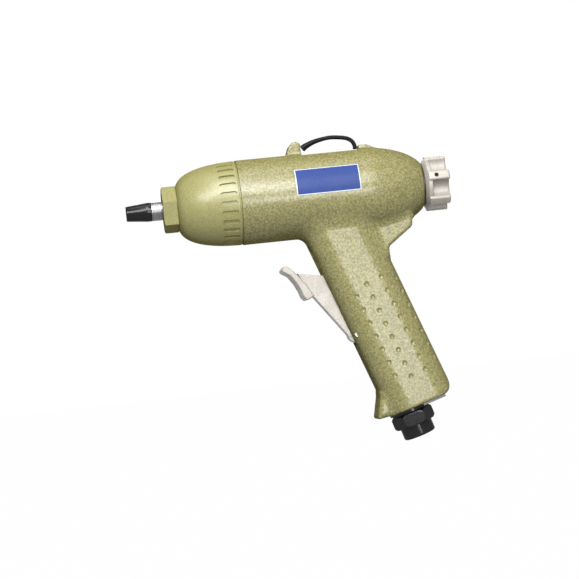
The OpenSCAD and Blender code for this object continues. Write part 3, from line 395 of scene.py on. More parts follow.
def net(field, low, high, cell):
    """A mesh of quads on the surface where the field is zero."""
    axes = [np.arange(a - 2 * cell, b + 3 * cell, cell) for a, b in zip(low, high)]
    nx, ny, nz = (len(a) for a in axes)
    d = sample(field, axes)
    inside = d < 0
    total = np.zeros((nx - 1, ny - 1, nz - 1))
    place = np.zeros(total.shape + (3,))
    count = np.zeros(total.shape)
    corners = [(i, j, k) for i in (0, 1) for j in (0, 1) for k in (0, 1)]

    def at(a, c):
        return a[c[0]:c[0] + nx - 1, c[1]:c[1] + ny - 1, c[2]:c[2] + nz - 1]

    for c in corners:
        total += at(inside, c)
    active = (total > 0) & (total < 8)
    for axis in range(3):
        for c in corners:
            if c[axis]:
                continue
            e = list(c)
            e[axis] = 1
            a, b = at(d, c), at(d, e)
            cross = (at(inside, c) != at(inside, e)) & active
            t = np.where(cross, a / np.where(cross, a - b, 1), 0)
            for k in range(3):
                place[..., k] += np.where(cross, t if k == axis else c[k], 0)
            count += cross
    index = np.full(total.shape, -1)
    index[active] = np.arange(active.sum())
    where = np.argwhere(active)
    origin = np.array([a[0] for a in axes])
    points = origin + (where + place[active] / count[active][:, None]) * cell
    for _ in range(4):
        g = gradient(field, points, cell / 8)
        step = field(*points.T)[:, None] * g / np.maximum((g * g).sum(1, keepdims=True), 0.05)
        length = np.linalg.norm(step, axis=1, keepdims=True)
        points -= step * np.minimum(1, cell / 2 / np.maximum(length, 1e-12))
    return points, quads_between(inside, index)


def mesh_object(name, points, faces, sharp=None):
    """An object from points and faces, smooth but for edges sharper than the given angle."""
    mesh = bpy.data.meshes.new(name)
    points = np.asarray(points, np.float32)
    if isinstance(faces, np.ndarray):
        sides = faces.shape[1]
        mesh.vertices.add(len(points))
        mesh.vertices.foreach_set("co", points.ravel())
        mesh.loops.add(faces.size)
        mesh.loops.foreach_set("vertex_index", faces.ravel().astype(np.int32))
        mesh.polygons.add(len(faces))
        mesh.polygons.foreach_set("loop_start", np.arange(0, faces.size, sides, dtype=np.int32))
        mesh.update(calc_edges=True)
    else:
        mesh.from_pydata(points.tolist(), [], faces)
    mesh.validate()
    obj = bpy.data.objects.new(name, mesh)
    bpy.context.scene.collection.objects.link(obj)
    mesh.shade_smooth()
    if sharp is not None:
        mesh.set_sharp_from_angle(angle=math.radians(sharp))
    return obj


# Finishes. A group puts out masks and heights, which each material mixes with its own colours.


def new_group(name, inputs, outputs):
    """An empty group: its tree, what it is given, what it puts out, and where each point lies."""
    tree = bpy.data.node_groups.new(name, "ShaderNodeTree")
    for socket, value in inputs.items():
        made = tree.interface.new_socket(name=socket, in_out="INPUT", socket_type="NodeSocketFloat")
        made.default_value = value
    for socket in outputs:
        tree.interface.new_socket(name=socket, in_out="OUTPUT", socket_type="NodeSocketFloat")
    source = tree.nodes.new("NodeGroupInput")
    result = tree.nodes.new("NodeGroupOutput")
    where = tree.nodes.new("ShaderNodeTexCoord").outputs["Object"]
    return tree, source.outputs, result.inputs, where


def wire(tree, value, socket):
    """Sets a socket to a number, or joins another socket to it."""
    if isinstance(value, bpy.types.NodeSocket):
        tree.links.new(value, socket)
    else:
        socket.default_value = value


def math_node(tree, operation, a, b=0.0, c=0.0):
    node = tree.nodes.new("ShaderNodeMath")
    node.operation = operation
    for value, socket in zip((a, b, c), node.inputs):
        wire(tree, value, socket)
    return node.outputs[0]


def noise(tree, where, scale, detail=2.0, roughness=0.5, distortion=0.0):
    node = tree.nodes.new("ShaderNodeTexNoise")
    tree.links.new(where, node.inputs["Vector"])
    wire(tree, scale, node.inputs["Scale"])
    node.inputs["Detail"].default_value = detail
    node.inputs["Roughness"].default_value = roughness
    node.inputs["Distortion"].default_value = distortion
    return node.outputs["Fac"]


def spread(tree, value, low, high):
    """Stretches a value from low..high to 0..1."""
    node = tree.nodes.new("ShaderNodeMapRange")
    node.interpolation_type = "SMOOTHSTEP"
    tree.links.new(value, node.inputs["Value"])
    node.inputs["From Min"].default_value = low
    node.inputs["From Max"].default_value = high
    return node.outputs["Result"]


def hammer_group():
    """Hammered enamel: islands of flake with raised, wandering edges."""
    tree, given, result, where = new_group("hammered film", {"Scale": 620.0},
                                           ["Islands", "Flake", "Height"])
    islands = spread(tree, noise(tree, where, given["Scale"], 2.5, 0.55, 0.6), 0.36, 0.66)
    cell = tree.nodes.new("ShaderNodeTexVoronoi")
    cell.feature = "SMOOTH_F1"
    tree.links.new(where, cell.inputs["Vector"])
    tree.links.new(math_node(tree, "MULTIPLY", given["Scale"], 0.8), cell.inputs["Scale"])
    cell.inputs["Smoothness"].default_value = 0.6
    ridge = spread(tree, cell.outputs["Distance"], 0.15, 0.75)
    finer = math_node(tree, "MULTIPLY", given["Scale"], 3.7)
    flake = spread(tree, noise(tree, where, finer, 2.0), 0.35, 0.65)
    tree.links.new(islands, result["Islands"])
    tree.links.new(flake, result["Flake"])
    height = math_node(tree, "MULTIPLY_ADD", islands, 0.6, math_node(tree, "MULTIPLY", ridge, 0.5))
    tree.links.new(height, result["Height"])
    return tree


def grain_group():
    """Fine even grain of a sprayed, blasted or moulded face."""
    tree, given, result, where = new_group("fine grain", {"Scale": 2400.0}, ["Mask", "Height"])
    fine = noise(tree, where, given["Scale"], 3.0, 0.6)
    tree.links.new(spread(tree, fine, 0.3, 0.7), result["Mask"])
    tree.links.new(fine, result["Height"])
    return tree


def handling_group():
    """Broad patches where hands and oil have dulled or polished a face, with specks of dust."""
    tree, given, result, where = new_group("handling", {"Scale": 45.0}, ["Patches", "Specks"])
    broad = noise(tree, where, given["Scale"], 4.0, 0.6, 0.4)
    tree.links.new(spread(tree, broad, 0.35, 0.7), result["Patches"])
    dots = noise(tree, where, math_node(tree, "MULTIPLY", given["Scale"], 22.0), 1.0)
    tree.links.new(spread(tree, dots, 0.68, 0.78), result["Specks"])
    return tree


def tooling_group():
    """Turning marks round the barrel's axis."""
    tree, given, result, where = new_group("turning marks", {"Scale": 900.0}, ["Marks", "Height"])
    apart = tree.nodes.new("ShaderNodeSeparateXYZ")
    tree.links.new(where, apart.inputs[0])
    join = tree.nodes.new("ShaderNodeCombineXYZ")
    squares = [math_node(tree, "POWER", apart.outputs[side], 2.0) for side in ("Y", "Z")]
    radius = math_node(tree, "SQRT", math_node(tree, "ADD", *squares))
    tree.links.new(math_node(tree, "ADD", apart.outputs["X"], radius), join.inputs["X"])
    lines = noise(tree, join.outputs[0], given["Scale"], 4.0, 0.7)
    tree.links.new(spread(tree, lines, 0.35, 0.65), result["Marks"])
    tree.links.new(lines, result["Height"])
    return tree


GROUPS = {"hammer": hammer_group(), "grain": grain_group(), "handling": handling_group(),
          "tooling": tooling_group()}


class Finish:
    """A material with its shader, and short calls that add to it."""

    def __init__(self, name, metallic, roughness, coat=0.0, specular=0.5):
        self.material = bpy.data.materials.new(name)
        self.material.use_nodes = True
        self.tree = self.material.node_tree
        self.shader = self.tree.nodes["Principled BSDF"]
        self.shader.inputs["Metallic"].default_value = metallic
        self.shader.inputs["Roughness"].default_value = roughness
        self.shader.inputs["Coat Weight"].default_value = coat
        self.shader.inputs["Specular IOR Level"].default_value = specular

    def group(self, kind, scale):
        """Places one of the shared effects at a scale of its own."""
        node = self.tree.nodes.new("ShaderNodeGroup")
        node.node_tree = GROUPS[kind]
        node.inputs["Scale"].default_value = scale
        return node.outputs

    def mix(self, mask, a, b):
        """A colour that goes from a to b with the mask."""
        node = self.tree.nodes.new("ShaderNodeMix")
        node.data_type = "RGBA"
        self.tree.links.new(mask, node.inputs["Factor"])
        for value, socket in zip((a, b), (node.inputs["A"], node.inputs["B"])):
            wire(self.tree, value if isinstance(value, bpy.types.NodeSocket) else (*value, 1), socket)
        return node.outputs["Result"]

    def tint(self, base, mask, share, colour):
        """Lays a share of another colour over the base where the mask is."""
        return self.mix(math_node(self.tree, "MULTIPLY", mask, share), base, colour)

    def level(self, mask, low, high):
        """A value that follows a mask from low to high."""
        return math_node(self.tree, "MULTIPLY_ADD", mask, high - low, low)

    def colour(self, socket):
        self.tree.links.new(socket, self.shader.inputs["Base Color"])

    def roughness(self, socket):
        self.tree.links.new(socket, self.shader.inputs["Roughness"])

    def lacquer(self, weight, roughness):
        """A clear coat that fades where the surface turns away from the eye."""
        facing = self.tree.nodes.new("ShaderNodeLayerWeight").outputs["Facing"]
        turned_away = math_node(self.tree, "MULTIPLY", facing, facing)
        left = math_node(self.tree, "MAXIMUM", self.level(turned_away, weight, -2 * weight), 0)
        self.tree.links.new(left, self.shader.inputs["Coat Weight"])
        self.shader.inputs["Coat Roughness"].default_value = roughness

    def bump(self, *layers):
        """Adds layers of (height, depth in mm), each on the one before."""
        normal = None
        for height, depth in layers:
            node = self.tree.nodes.new("ShaderNodeBump")
            node.inputs["Distance"].default_value = depth * MM
            self.tree.links.new(height, node.inputs["Height"])
            if normal:
                self.tree.links.new(normal, node.inputs["Normal"])
            normal = node.outputs["Normal"]
        self.tree.links.new(normal, self.shader.inputs["Normal"])


def hammered_enamel():
    """Two-tone olive enamel of the main housing, with pale flake."""
    f = Finish("hammered_enamel", metallic=0.02, roughness=0.36, specular=0.0)
    f.lacquer(1.0, 0.3)
    film, hands = f.group("hammer", 950.0), f.group("handling", 40.0)
    base = f.mix(film["Islands"], (0.098, 0.093, 0.018), (0.252, 0.23, 0.08))
    base = f.tint(base, film["Flake"], 0.2, (0.50, 0.46, 0.33))
    base = f.tint(base, hands["Patches"], 0.12, (0.24, 0.22, 0.065))
    f.tree.links.new(f.level(film["Islands"], 0.0, 0.05), f.shader.inputs["Metallic"])
    f.colour(base)
    flaky = f.level(film["Flake"], 0.32, 0.4)
    f.roughness(math_node(f.tree, "MULTIPLY_ADD", hands["Patches"], 0.06, flaky))
    f.bump((film["Height"], 0.06))
    return f.material


def satin_enamel(name, dark, light):
    """Smoother enamel of the nose and its nut, with a trace of the hammering."""
    f = Finish(name, metallic=0.02, roughness=0.4, specular=0.0)
    f.lacquer(1.0, 0.32)
    grain, film, hands = f.group("grain", 1500.0), f.group("hammer", 900.0), f.group("handling", 55.0)
    base = f.mix(grain["Mask"], dark, light)
    base = f.tint(base, film["Islands"], 0.2, (0.38, 0.355, 0.17))
    base = f.tint(base, hands["Patches"], 0.15, dark)
    f.colour(base)
    f.roughness(f.level(grain["Mask"], 0.38, 0.46))
    f.bump((grain["Height"], 0.03), (film["Height"], 0.03))
    return f.material


def cast_metal(name, dark, light, roughness):
    """Blasted casting of the trigger and the knob."""
    f = Finish(name, metallic=0.2, roughness=roughness)
    grain, hands = f.group("grain", 1800.0), f.group("handling", 70.0)
    base = f.mix(grain["Mask"], dark, light)
    base = f.tint(base, hands["Patches"], 0.25, dark)
    base = f.tint(base, hands["Specks"], 0.3, (0.30, 0.28, 0.26))
    f.colour(base)
    f.roughness(f.level(hands["Patches"], roughness - 0.06, roughness + 0.08))
    f.bump((grain["Height"], 0.05))
    return f.material


def turned_steel(name, dark, light, low, high):
    """Turned or ground metal, between two roughnesses along its marks."""
    f = Finish(name, metallic=1.0, roughness=high)
    marks, hands = f.group("tooling", 1500.0), f.group("handling", 90.0)
    base = f.mix(marks["Marks"], dark, light)
    f.colour(f.tint(base, hands["Patches"], 0.2, dark))
    f.roughness(f.level(marks["Marks"], low, high))
    f.bump((marks["Height"], 0.01))
    return f.material


def black_oxide():
    """Oiled black steel of the bit holder and the inlet."""
    f = Finish("black_oxide", metallic=0.0, roughness=0.3, specular=0.04)
    f.lacquer(0.4, 0.12)
    grain, hands = f.group("grain", 2200.0), f.group("handling", 110.0)
    base = f.mix(grain["Mask"], (0.002, 0.002, 0.002), (0.006, 0.006, 0.006))
    f.colour(f.tint(base, hands["Patches"], 0.25, (0.012, 0.011, 0.01)))
    f.roughness(f.level(hands["Patches"], 0.24, 0.4))
    f.bump((grain["Height"], 0.03))
    return f.material


def plain_black(name, roughness, grain_scale):
    """Black rubber, or the plastic coat of the hanger's wire."""
    f = Finish(name, metallic=0.0, roughness=roughness, specular=0.08)
    grain, hands = f.group("grain", grain_scale), f.group("handling", 80.0)
    base = f.mix(grain["Mask"], (0.004, 0.004, 0.004), (0.010, 0.010, 0.010))
    f.colour(f.tint(base, hands["Specks"], 0.3, (0.08, 0.075, 0.07)))
    f.roughness(f.level(hands["Patches"], roughness - 0.08, roughness + 0.08))
    f.bump((grain["Height"], 0.04))
    return f.material


def label_film():
    """Blue print under a thin clear film."""
    f = Finish("label_film", metallic=0.0, roughness=0.5, coat=0.05, specular=0.2)
    f.shader.inputs["Coat Roughness"].default_value = 0.2
    grain, hands = f.group("grain", 1200.0), f.group("handling", 60.0)
    base = f.mix(grain["Mask"], (0.012, 0.034, 0.158), (0.018, 0.045, 0.195))
    f.colour(f.tint(base, hands["Patches"], 0.15, (0.03, 0.055, 0.23)))
    f.roughness(f.level(hands["Patches"], 0.45, 0.58))
    f.bump((grain["Height"], 0.01))
    return f.material


def label_edge():
    """Pale backing that shows as the label's border."""
    f = Finish("label_edge", metallic=0.1, roughness=0.4)
    grain = f.group("grain", 1500.0)
    f.colour(f.mix(grain["Mask"], (0.40, 0.44, 0.52), (0.52, 0.56, 0.64)))
    f.bump((grain["Height"], 0.01))
    return f.material


def soft_stock(name, dark, light, scale):
    """Felt of the silencers and fibre of the vanes, rough all over."""
    f = Finish(name, metallic=0.0, roughness=0.9)
    grain, hands = f.group("grain", scale), f.group("handling", 140.0)
    base = f.mix(grain["Mask"], dark, light)
    f.colour(f.tint(base, hands["Patches"], 0.4, dark))
    f.roughness(f.level(grain["Mask"], 0.8, 0.95))
    f.bump((grain["Height"], 0.15))
    return f.material


FINISHES = {
    "hammer_paint": hammered_enamel(),
    "satin_paint": satin_enamel("satin_enamel", (0.188, 0.178, 0.058), (0.275, 0.26, 0.104)),
    "bright_steel": turned_steel("ground_steel", (0.11, 0.11, 0.115), (0.24, 0.24, 0.24), 0.28, 0.36),
    "machined_steel": turned_steel("machined_steel", (0.30, 0.31, 0.32), (0.52, 0.53, 0.54), 0.28, 0.42),
    "black_steel": black_oxide(),
    "cast_metal": cast_metal("blasted_casting", (0.295, 0.274, 0.246), (0.42, 0.392, 0.35), 0.46),
    "bronze": turned_steel("bearing_bronze", (0.36, 0.21, 0.08), (0.60, 0.40, 0.18), 0.3, 0.45),
    "black_rubber": plain_black("seal_rubber", 0.6, 1600.0),
    "coated_wire": plain_black("coated_wire", 0.38, 1400.0),
    "blue_label": label_film(),
    "label_backing": label_edge(),
    "felt": soft_stock("pressed_felt", (0.36, 0.34, 0.30), (0.66, 0.63, 0.56), 1500.0),
    "vane_fibre": soft_stock("vane_fibre", (0.14, 0.08, 0.045), (0.26, 0.17, 0.10), 2600.0),
}


def dress(obj, finish):
    obj.data.materials.clear()
    obj.data.materials.append(finish)


for part in frame["record"]["subparts"]:
    node = frame["nodes"][part["node"]]
    dress(node, FINISHES[part["material_slot"]])
    node.data.set_sharp_from_angle(angle=math.radians(35))


def fit(obj, body, slot, *nodes):
    """Rides a finished piece on its body, in place of the nodes that it stands for."""
    dress(obj, FINISHES[slot])
    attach(obj, body)
    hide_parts(*nodes)
    return obj


# Pieces


def tube_cutter(start, end, r, sides=96):
    """A plain cylinder between two points, used only to cut."""
    start, end = Vector(start), Vector(end)
    axis = end - start
    bm = bmesh.new()
    bmesh.ops.create_cone(bm, cap_ends=True, segments=sides, radius1=r, radius2=r, depth=axis.length)
    turn_to = Vector((0, 0, 1)).rotation_difference(axis).to_matrix().to_4x4()
    bmesh.ops.transform(bm, matrix=Matrix.Translation((start + end) / 2) @ turn_to, verts=bm.verts)
    return bm_object("cutter", bm)


def bm_object(name, bm):
    mesh = bpy.data.meshes.new(name)
    bm.to_mesh(mesh)
    bm.free()
    obj = bpy.data.objects.new(name, mesh)
    bpy.context.scene.collection.objects.link(obj)
    return obj


def settle(obj):
    """Applies every modifier on an object."""
    graph = bpy.context.evaluated_depsgraph_get()
    mesh = bpy.data.meshes.new_from_object(obj.evaluated_get(graph))
    obj.modifiers.clear()
    obj.data = mesh


def cut(obj, cutters, sharp=30, operation="DIFFERENCE"):
    """Cuts each cutter out of a piece, or joins it on, and marks the sharp edges anew."""
    for cutter in cutters:
        boolean = obj.modifiers.new("cut", "BOOLEAN")
        boolean.operation = operation
        boolean.solver = "MANIFOLD"
        boolean.object = cutter
    settle(obj)
    for cutter in cutters:
        bpy.data.objects.remove(cutter)
    obj.data.shade_smooth()
    obj.data.set_sharp_from_angle(angle=math.radians(sharp))
    return obj


def grip_point(w, y, s):
    """The place that is w across the grip and s down it."""
    return Vector((GRIP_X + w * math.cos(RAKE) + s * math.sin(RAKE), y,
                   w * math.sin(RAKE) - s * math.cos(RAKE)))


def slot_cutter():
    """The trigger's slot, cut into the grip's front."""
    bm = bmesh.new()
    bmesh.ops.create_cube(bm, size=1.0)
    for v in bm.verts:
        w = -GRIP_HALF_D - SLOT_DEPTH if v.co.x < 0 else -GRIP_HALF_D + SLOT_DEPTH
        s = SLOT_TOP_S if v.co.z > 0 else SLOT_END_S
        v.co = grip_point(w, SLOT_HALF_W * (1 if v.co.y > 0 else -1), s)
    return bm_object("cutter", bm)


def dimples():
    """Shallow spherical hollows in rows on both flanks of the grip."""
    ball_r = (DIMPLE_R ** 2 + DIMPLE_DEPTH ** 2) / (2 * DIMPLE_DEPTH)
    flat_w, flat_y = GRIP_HALF_D - GRIP_EDGE_R, GRIP_HALF_W - GRIP_EDGE_R
    bm = bmesh.new()
    for column_w, offset in DIMPLE_COLUMNS:
        edge_w = max(-flat_w, min(flat_w, column_w))
        a = math.asin((column_w - edge_w) / GRIP_EDGE_R)
        reach = GRIP_EDGE_R + ball_r - DIMPLE_DEPTH
        for row in range(DIMPLE_ROWS - offset):
            s = DIMPLE_S + DIMPLE_PITCH * (row + offset / 2)
            for side in (-1, 1):
                at = grip_point(edge_w + reach * math.sin(a), side * (flat_y + reach * math.cos(a)), s)
                bmesh.ops.create_icosphere(bm, subdivisions=3, radius=ball_r, matrix=Matrix.Translation(at))
    return finished("cutter", bm)


def housing():
    """Barrel, grip, tang, toe, ear and hump as one casting, with its bores, slot and dimples."""
    points, quads = net(housing_field, *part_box("main_housing"), HOUSING_CELL)
    obj = mesh_object("housing", points, quads, sharp=40)
    cutters = [tube_cutter((-OVERRUN, 0, 0), (MOTOR_END, 0, 0), MOTOR_BORE_R),
               tube_cutter((MOTOR_END - OVERRUN, 0, 0), (BARREL_LEN - REAR_WALL, 0, 0), VALVE_BORE_R),
               tube_cutter((MOTOR_END, 0, 0), (BARREL_LEN + OVERRUN, 0, 0), VALVE_HOLE_R),
               slot_cutter(), dimples()]
    cut(obj, cutters, sharp=35)
    return fit(obj, "casing", "hammer_paint", "main_housing")


def soften(points, radii, steps=4):
    """Rounds the corners of a closed outline, by one radius or by one for each corner."""
    if not isinstance(radii, list):
        radii = [radii] * len(points)
    soft = []
    for i, (p, r) in enumerate(zip(points, radii)):
        p = Vector(p)
        before, after = Vector(points[i - 1]) - p, Vector(points[(i + 1) % len(points)]) - p
        half = before.angle(after) / 2
        if r == 0 or half > math.radians(88):
            soft.append(p)
            continue
        back = min(r / math.tan(half), 0.45 * before.length, 0.45 * after.length)
        before.normalize()
        after.normalize()
        middle = p + (before + after).normalized() * back / math.cos(half)
        start, end = p + before * back - middle, p + after * back - middle
        swing = math.pi - 2 * half
        for k in range(steps + 1):
            t = k / steps * swing
            soft.append(middle + (start * math.sin(swing - t) + end * math.sin(t)) / math.sin(swing))
    return soft


def finished(name, bm, sharp=30):
    """An object from a mesh in the making, with its faces turned outwards."""
    bmesh.ops.recalc_face_normals(bm, faces=bm.faces)
    obj = bm_object(name, bm)
    obj.data.shade_smooth()
    obj.data.set_sharp_from_angle(angle=math.radians(sharp))
    return obj


def bridge(bm, rings, closed):
    """Joins rings of vertices, the last one to the first if closed. A point is one vertex repeated."""
    for i in range(0 if closed else 1, len(rings)):
        last, ring = rings[i - 1], rings[i]
        for k, corner in enumerate(ring):
            n = (k + 1) % len(ring)
            face = list(dict.fromkeys((last[k], last[n], ring[n], corner)))
            if len(face) > 2:
                bm.faces.new(face)


def capped(bm, rings):
    """Joins rings of vertices and closes both ends."""
    bridge(bm, rings, closed=False)
    for end in (rings[0], rings[-1]):
        bm.faces.new(end)


def turned(name, profile, sides=120, sharp=30):
    """An outline of (x, r) points turned round the barrel's axis. Open ones start and end on the axis."""
    bm = bmesh.new()
    rings = []
    for x, r in profile:
        if r < ON_AXIS:
            rings.append([bm.verts.new((x, 0, 0))] * sides)
            continue
        turns = [2 * math.pi * k / sides for k in range(sides)]
        rings.append([bm.verts.new((x, r * math.cos(a), r * math.sin(a))) for a in turns])
    bridge(bm, rings, closed=profile[0][1] > ON_AXIS)
    return finished(name, bm, sharp)


def prism(start, end, half, sides, turn=0.0):
    """A straight prism with flats at distance half, between two points on the barrel's axis."""
    bm = bmesh.new()
    r = half / math.cos(math.pi / sides)
    turns = [2 * math.pi * k / sides + turn for k in range(sides)]
    rings = [[bm.verts.new((x, r * math.cos(a), r * math.sin(a))) for a in turns] for x in (start, end)]
    capped(bm, rings)
    return finished("cutter", bm)


def nose_radius(x):
    """How wide the nose's outer curve is at x."""
    t = min(1, max(0, (SEAM_X - x) / NOSE_HALF))
    return NOSE_R * (1 - t * t) ** (NOSE_POWER / 2)


def pocket_outline(r):
    """A slot's outline in (x, across), with round ends of radius r."""
    x0, x1 = SLOT_X
    for end, first in ((x0 + SLOT_W / 2, 90), (x1 - SLOT_W / 2, -90)):
        for k in range(SLOT_END_STEPS + 1):
            b = math.radians(first + 180 * k / SLOT_END_STEPS)
            yield end + r * math.cos(b), r * math.sin(b)


def nose_slots():
    """Round-ended pockets with sloped walls, spaced round the clutch housing's rear."""
    x0, x1 = SLOT_X
    fall = (nose_radius(x1) - nose_radius(x0)) / (x1 - x0)
    top = [(x, u, NOSE_R + SLOT_RECESS) for x, u in pocket_outline(SLOT_W / 2 + SLOT_DRAFT)]
    bottom = [(x, u, nose_radius(x0) + fall * (x - x0) - SLOT_RECESS)
              for x, u in pocket_outline(SLOT_W / 2 - SLOT_DRAFT)]
    bm = bmesh.new()
    for i in range(SLOT_COUNT):
        a = 2 * math.pi * i / SLOT_COUNT + SLOT_TURN
        capped(bm, [[bm.verts.new((x, u * math.cos(a) - h * math.sin(a), u * math.sin(a) + h * math.cos(a)))
                     for x, u, h in ring] for ring in (top, bottom)])
    return finished("cutter", bm)


def clutch_shell():
    """The clutch housing: a domed nose with a spigot in the barrel and pockets round its rear."""
    whole_turn = math.asin((SEAM_X - NOSE_X) / NOSE_HALF)
    turns = [whole_turn * k / NOSE_STEPS for k in range(1, NOSE_STEPS + 1)]
    curve = [(SEAM_X - NOSE_HALF * math.sin(t), NOSE_R * math.cos(t) ** NOSE_POWER) for t in turns]
    spigot_r, lip_r, hole_r = MOTOR_BORE_R - SLIP, NOSE_R - SEAM_DEPTH, NUT_THREAD_R
    profile = [(SPIGOT_LEN, CHAMBER_R), (SPIGOT_LEN, spigot_r), (-SLIP, spigot_r), (-SLIP, lip_r),
               (SEAM_X, lip_r), (SEAM_X, NOSE_R)] + curve
    profile += [(NOSE_X, hole_r), (CHAMBER_X, hole_r), (CHAMBER_X, CHAMBER_R)]
    radii = [MOUTH_ROUND, SPIGOT_ROUND, 0, 0, 0, SEAM_ROUND] + [0] * (NOSE_STEPS - 1)
    radii += [NOSE_FRONT_ROUND, MOUTH_ROUND, 0, CHAMBER_ROUND]
    shell = turned("clutch_shell", soften(profile, radii), sides=168)
    cut(shell, [nose_slots()], sharp=28)
    return fit(shell, "casing", "satin_paint", "clutch_housing")


def hexagon(u, v, half):
    """A hexagon with flats at distance half, two of them across v."""
    lean = np.abs(u) * math.cos(math.pi / 6) + np.abs(v) * math.sin(math.pi / 6)
    return np.maximum(np.abs(v), lean) - half


def nut_field(x, y, z):
    """The nose nut's chamfered hexagon, and its thread inside the nose."""
    r = np.hypot(y, z)
    out = z * math.sin(NUT_TURN) - y * math.cos(NUT_TURN)
    up = z * math.cos(NUT_TURN) + y * math.sin(NUT_TURN)
    head = hexagon(out, up, NUT_HALF)
    cone = (r - NUT_HALF * NUT_CHAMFER_SHARE - (x - NUT_X)) / math.sqrt(2)
    head = keep(keep(head, np.maximum(NUT_X - x, x - NOSE_X), NUT_EDGE), cone, NUT_EDGE)
    thread = keep(r - NUT_THREAD_R + SLIP, np.maximum(NUT_X + NUT_EDGE - x, x - NUT_END), NUT_EDGE)
    return np.minimum(head, thread)


def nose_nut():
    corner_r = NUT_HALF / math.cos(math.pi / 6)
    box = (NUT_X, -corner_r, -corner_r), (NUT_END, corner_r, corner_r)
    nut = mesh_object("nose_nut_body", *net(nut_field, *box, FINE_CELL), sharp=40)
    cut(nut, [tube_cutter((NUT_X - OVERRUN, 0, 0), (NOSE_X, 0, 0), NUT_HOLE_R),
              tube_cutter((NUT_X + NUT_LIP, 0, 0), (NUT_END + OVERRUN, 0, 0), NOSE_BUSH_R)], sharp=35)
    return fit(nut, "casing", "satin_paint", "nose_nut")


def bit_holder():
    """The tapered holder with its hexagonal socket, and the shank behind it."""
    bend_x, bend_r = HOLDER_BEND_SHARES
    profile = [(HOLDER_X, 0), (HOLDER_X, HOLDER_TIP_R),
               (HOLDER_X + bend_x * HOLDER_LEN, HOLDER_TIP_R + bend_r * (SPINDLE_R - HOLDER_TIP_R)),
               (HOLDER_X + HOLDER_FULL_SHARE * HOLDER_LEN, SPINDLE_R), (HOLDER_END, SPINDLE_R),
               (HOLDER_END, 0)]
    radii = [0, HOLDER_ROUND, HOLDER_BEND_ROUND, HOLDER_FULL_ROUND, HOLDER_ROUND, 0]
    body = turned("bit_holder_body", soften(profile, radii), sides=96)
    shank = prism(HOLDER_END - HOLDER_ROUND, HOLDER_END + SHANK_LEN, SHANK_HALF, 6)
    cut(body, [shank], operation="UNION")
    cut(body, [prism(HOLDER_X - OVERRUN, HOLDER_X + HOLDER_SOCKET, SHANK_HALF + SOCKET_PLAY, 6)])
    return fit(body, "output_spindle", "black_steel", "bit_holder")


def knob_field(x, y, z):
    """The knob's bevelled flange and its scalloped lobes."""
    r = np.hypot(y, z)
    rim = KNOB_R - KNOB_CHAMFER
    middle = KNOB_X + KNOB_FLANGE / 2
    flange = keep(r - rim, np.abs(x - middle) - KNOB_FLANGE / 2, KNOB_EDGE)
    slope = (KNOB_R - 2 * KNOB_BEVEL - rim, KNOB_BEVEL)
    cone = ((r - rim) * slope[1] - (KNOB_X + KNOB_BEVEL - x) * slope[0]) / math.hypot(*slope)
    flange = keep(flange, cone, KNOB_EDGE)
    sector = 2 * math.pi / KNOB_LOBES
    a = np.mod(np.arctan2(z, -y) - KNOB_TURN, sector) - sector / 2
    scallop = np.hypot(r * np.cos(a) - KNOB_VALLEY_R - SCALLOP_R, r * np.sin(a)) - SCALLOP_R
    lobes = keep(r - KNOB_R, -scallop, LOBE_ROUND)
    lobes = keep(lobes, x - KNOB_END, KNOB_CHAMFER)
    lobes = np.maximum(lobes, middle - x)
    return grow(flange, lobes, KNOB_EDGE)


def knob():
    box = (KNOB_X, -KNOB_R, -KNOB_R), (KNOB_END, KNOB_R, KNOB_R)
    body = mesh_object("knob_body", *net(knob_field, *box, FINE_CELL), sharp=40)
    lobe = Vector((0, -math.cos(KNOB_TURN), math.sin(KNOB_TURN)))
    hole = Vector((KNOB_X + KNOB_SCREW_X, 0, 0))
    cut(body, [tube_cutter((KNOB_X - OVERRUN, 0, 0), (KNOB_X + KNOB_STEM, 0, 0), STEM_R),
               tube_cutter(hole, hole + lobe * (KNOB_R + OVERRUN), KNOB_SCREW_R, sides=32)], sharp=35)
    return fit(body, "reverse_control", "cast_metal", "knob")


def from_pivot(shares):
    """Places in the grip, from shares of the trigger's reach and length."""
    return [(PIVOT_W - u * TRIGGER_REACH, -PIVOT_S + v * TRIGGER_LEN) for u, v in shares]


def trigger_field(x, y, z):
    """The finger pad, the web behind it and the boss round the pin."""
    w, s = to_grip(x, z)
    pad = keep(outline(w, -s, soften(from_pivot(PAD_SHARES), PAD_BEND)), np.abs(y) - PAD_HALF_W, PAD_EDGE)
    web = keep(outline(w, -s, from_pivot(WEB_SHARES)), np.abs(y) - WEB_HALF_W, WEB_EDGE)
    boss = keep(np.hypot(w - PIVOT_W, s - PIVOT_S) - BOSS_R, np.abs(y) - WEB_HALF_W, WEB_EDGE)
    return grow(pad, grow(web, boss, WEB_EDGE), PAD_FILLET)


def trigger():
    body = mesh_object("trigger_lever_body", *net(trigger_field, *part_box("trigger"), FINE_CELL), sharp=45)
    hole = [grip_point(PIVOT_W, y, PIVOT_S) for y in (-PAD_HALF_W, PAD_HALF_W)]
    cut(body, [tube_cutter(*hole, TRIGGER_HOLE_R, sides=48)], sharp=40)
    return fit(body, "trigger_lever", "cast_metal", "trigger")


def smooth_path(points, per_span):
    """Places along a smooth curve through the points, and how far along each one is, from 0 to 1."""
    points = [Vector(p) for p in points]
    ends = [2 * points[0] - points[1]] + points + [2 * points[-1] - points[-2]]
    path = []
    for a, b, c, d in zip(ends, ends[1:], ends[2:], ends[3:]):
        for k in range(per_span):
            t = k / per_span
            path.append((2 * b + (c - a) * t + (2 * a - 5 * b + 4 * c - d) * t ** 2
                         + (3 * b - 3 * c + d - a) * t ** 3) / 2)
    path.append(points[-1])
    return path, [k / (len(path) - 1) for k in range(len(path))]


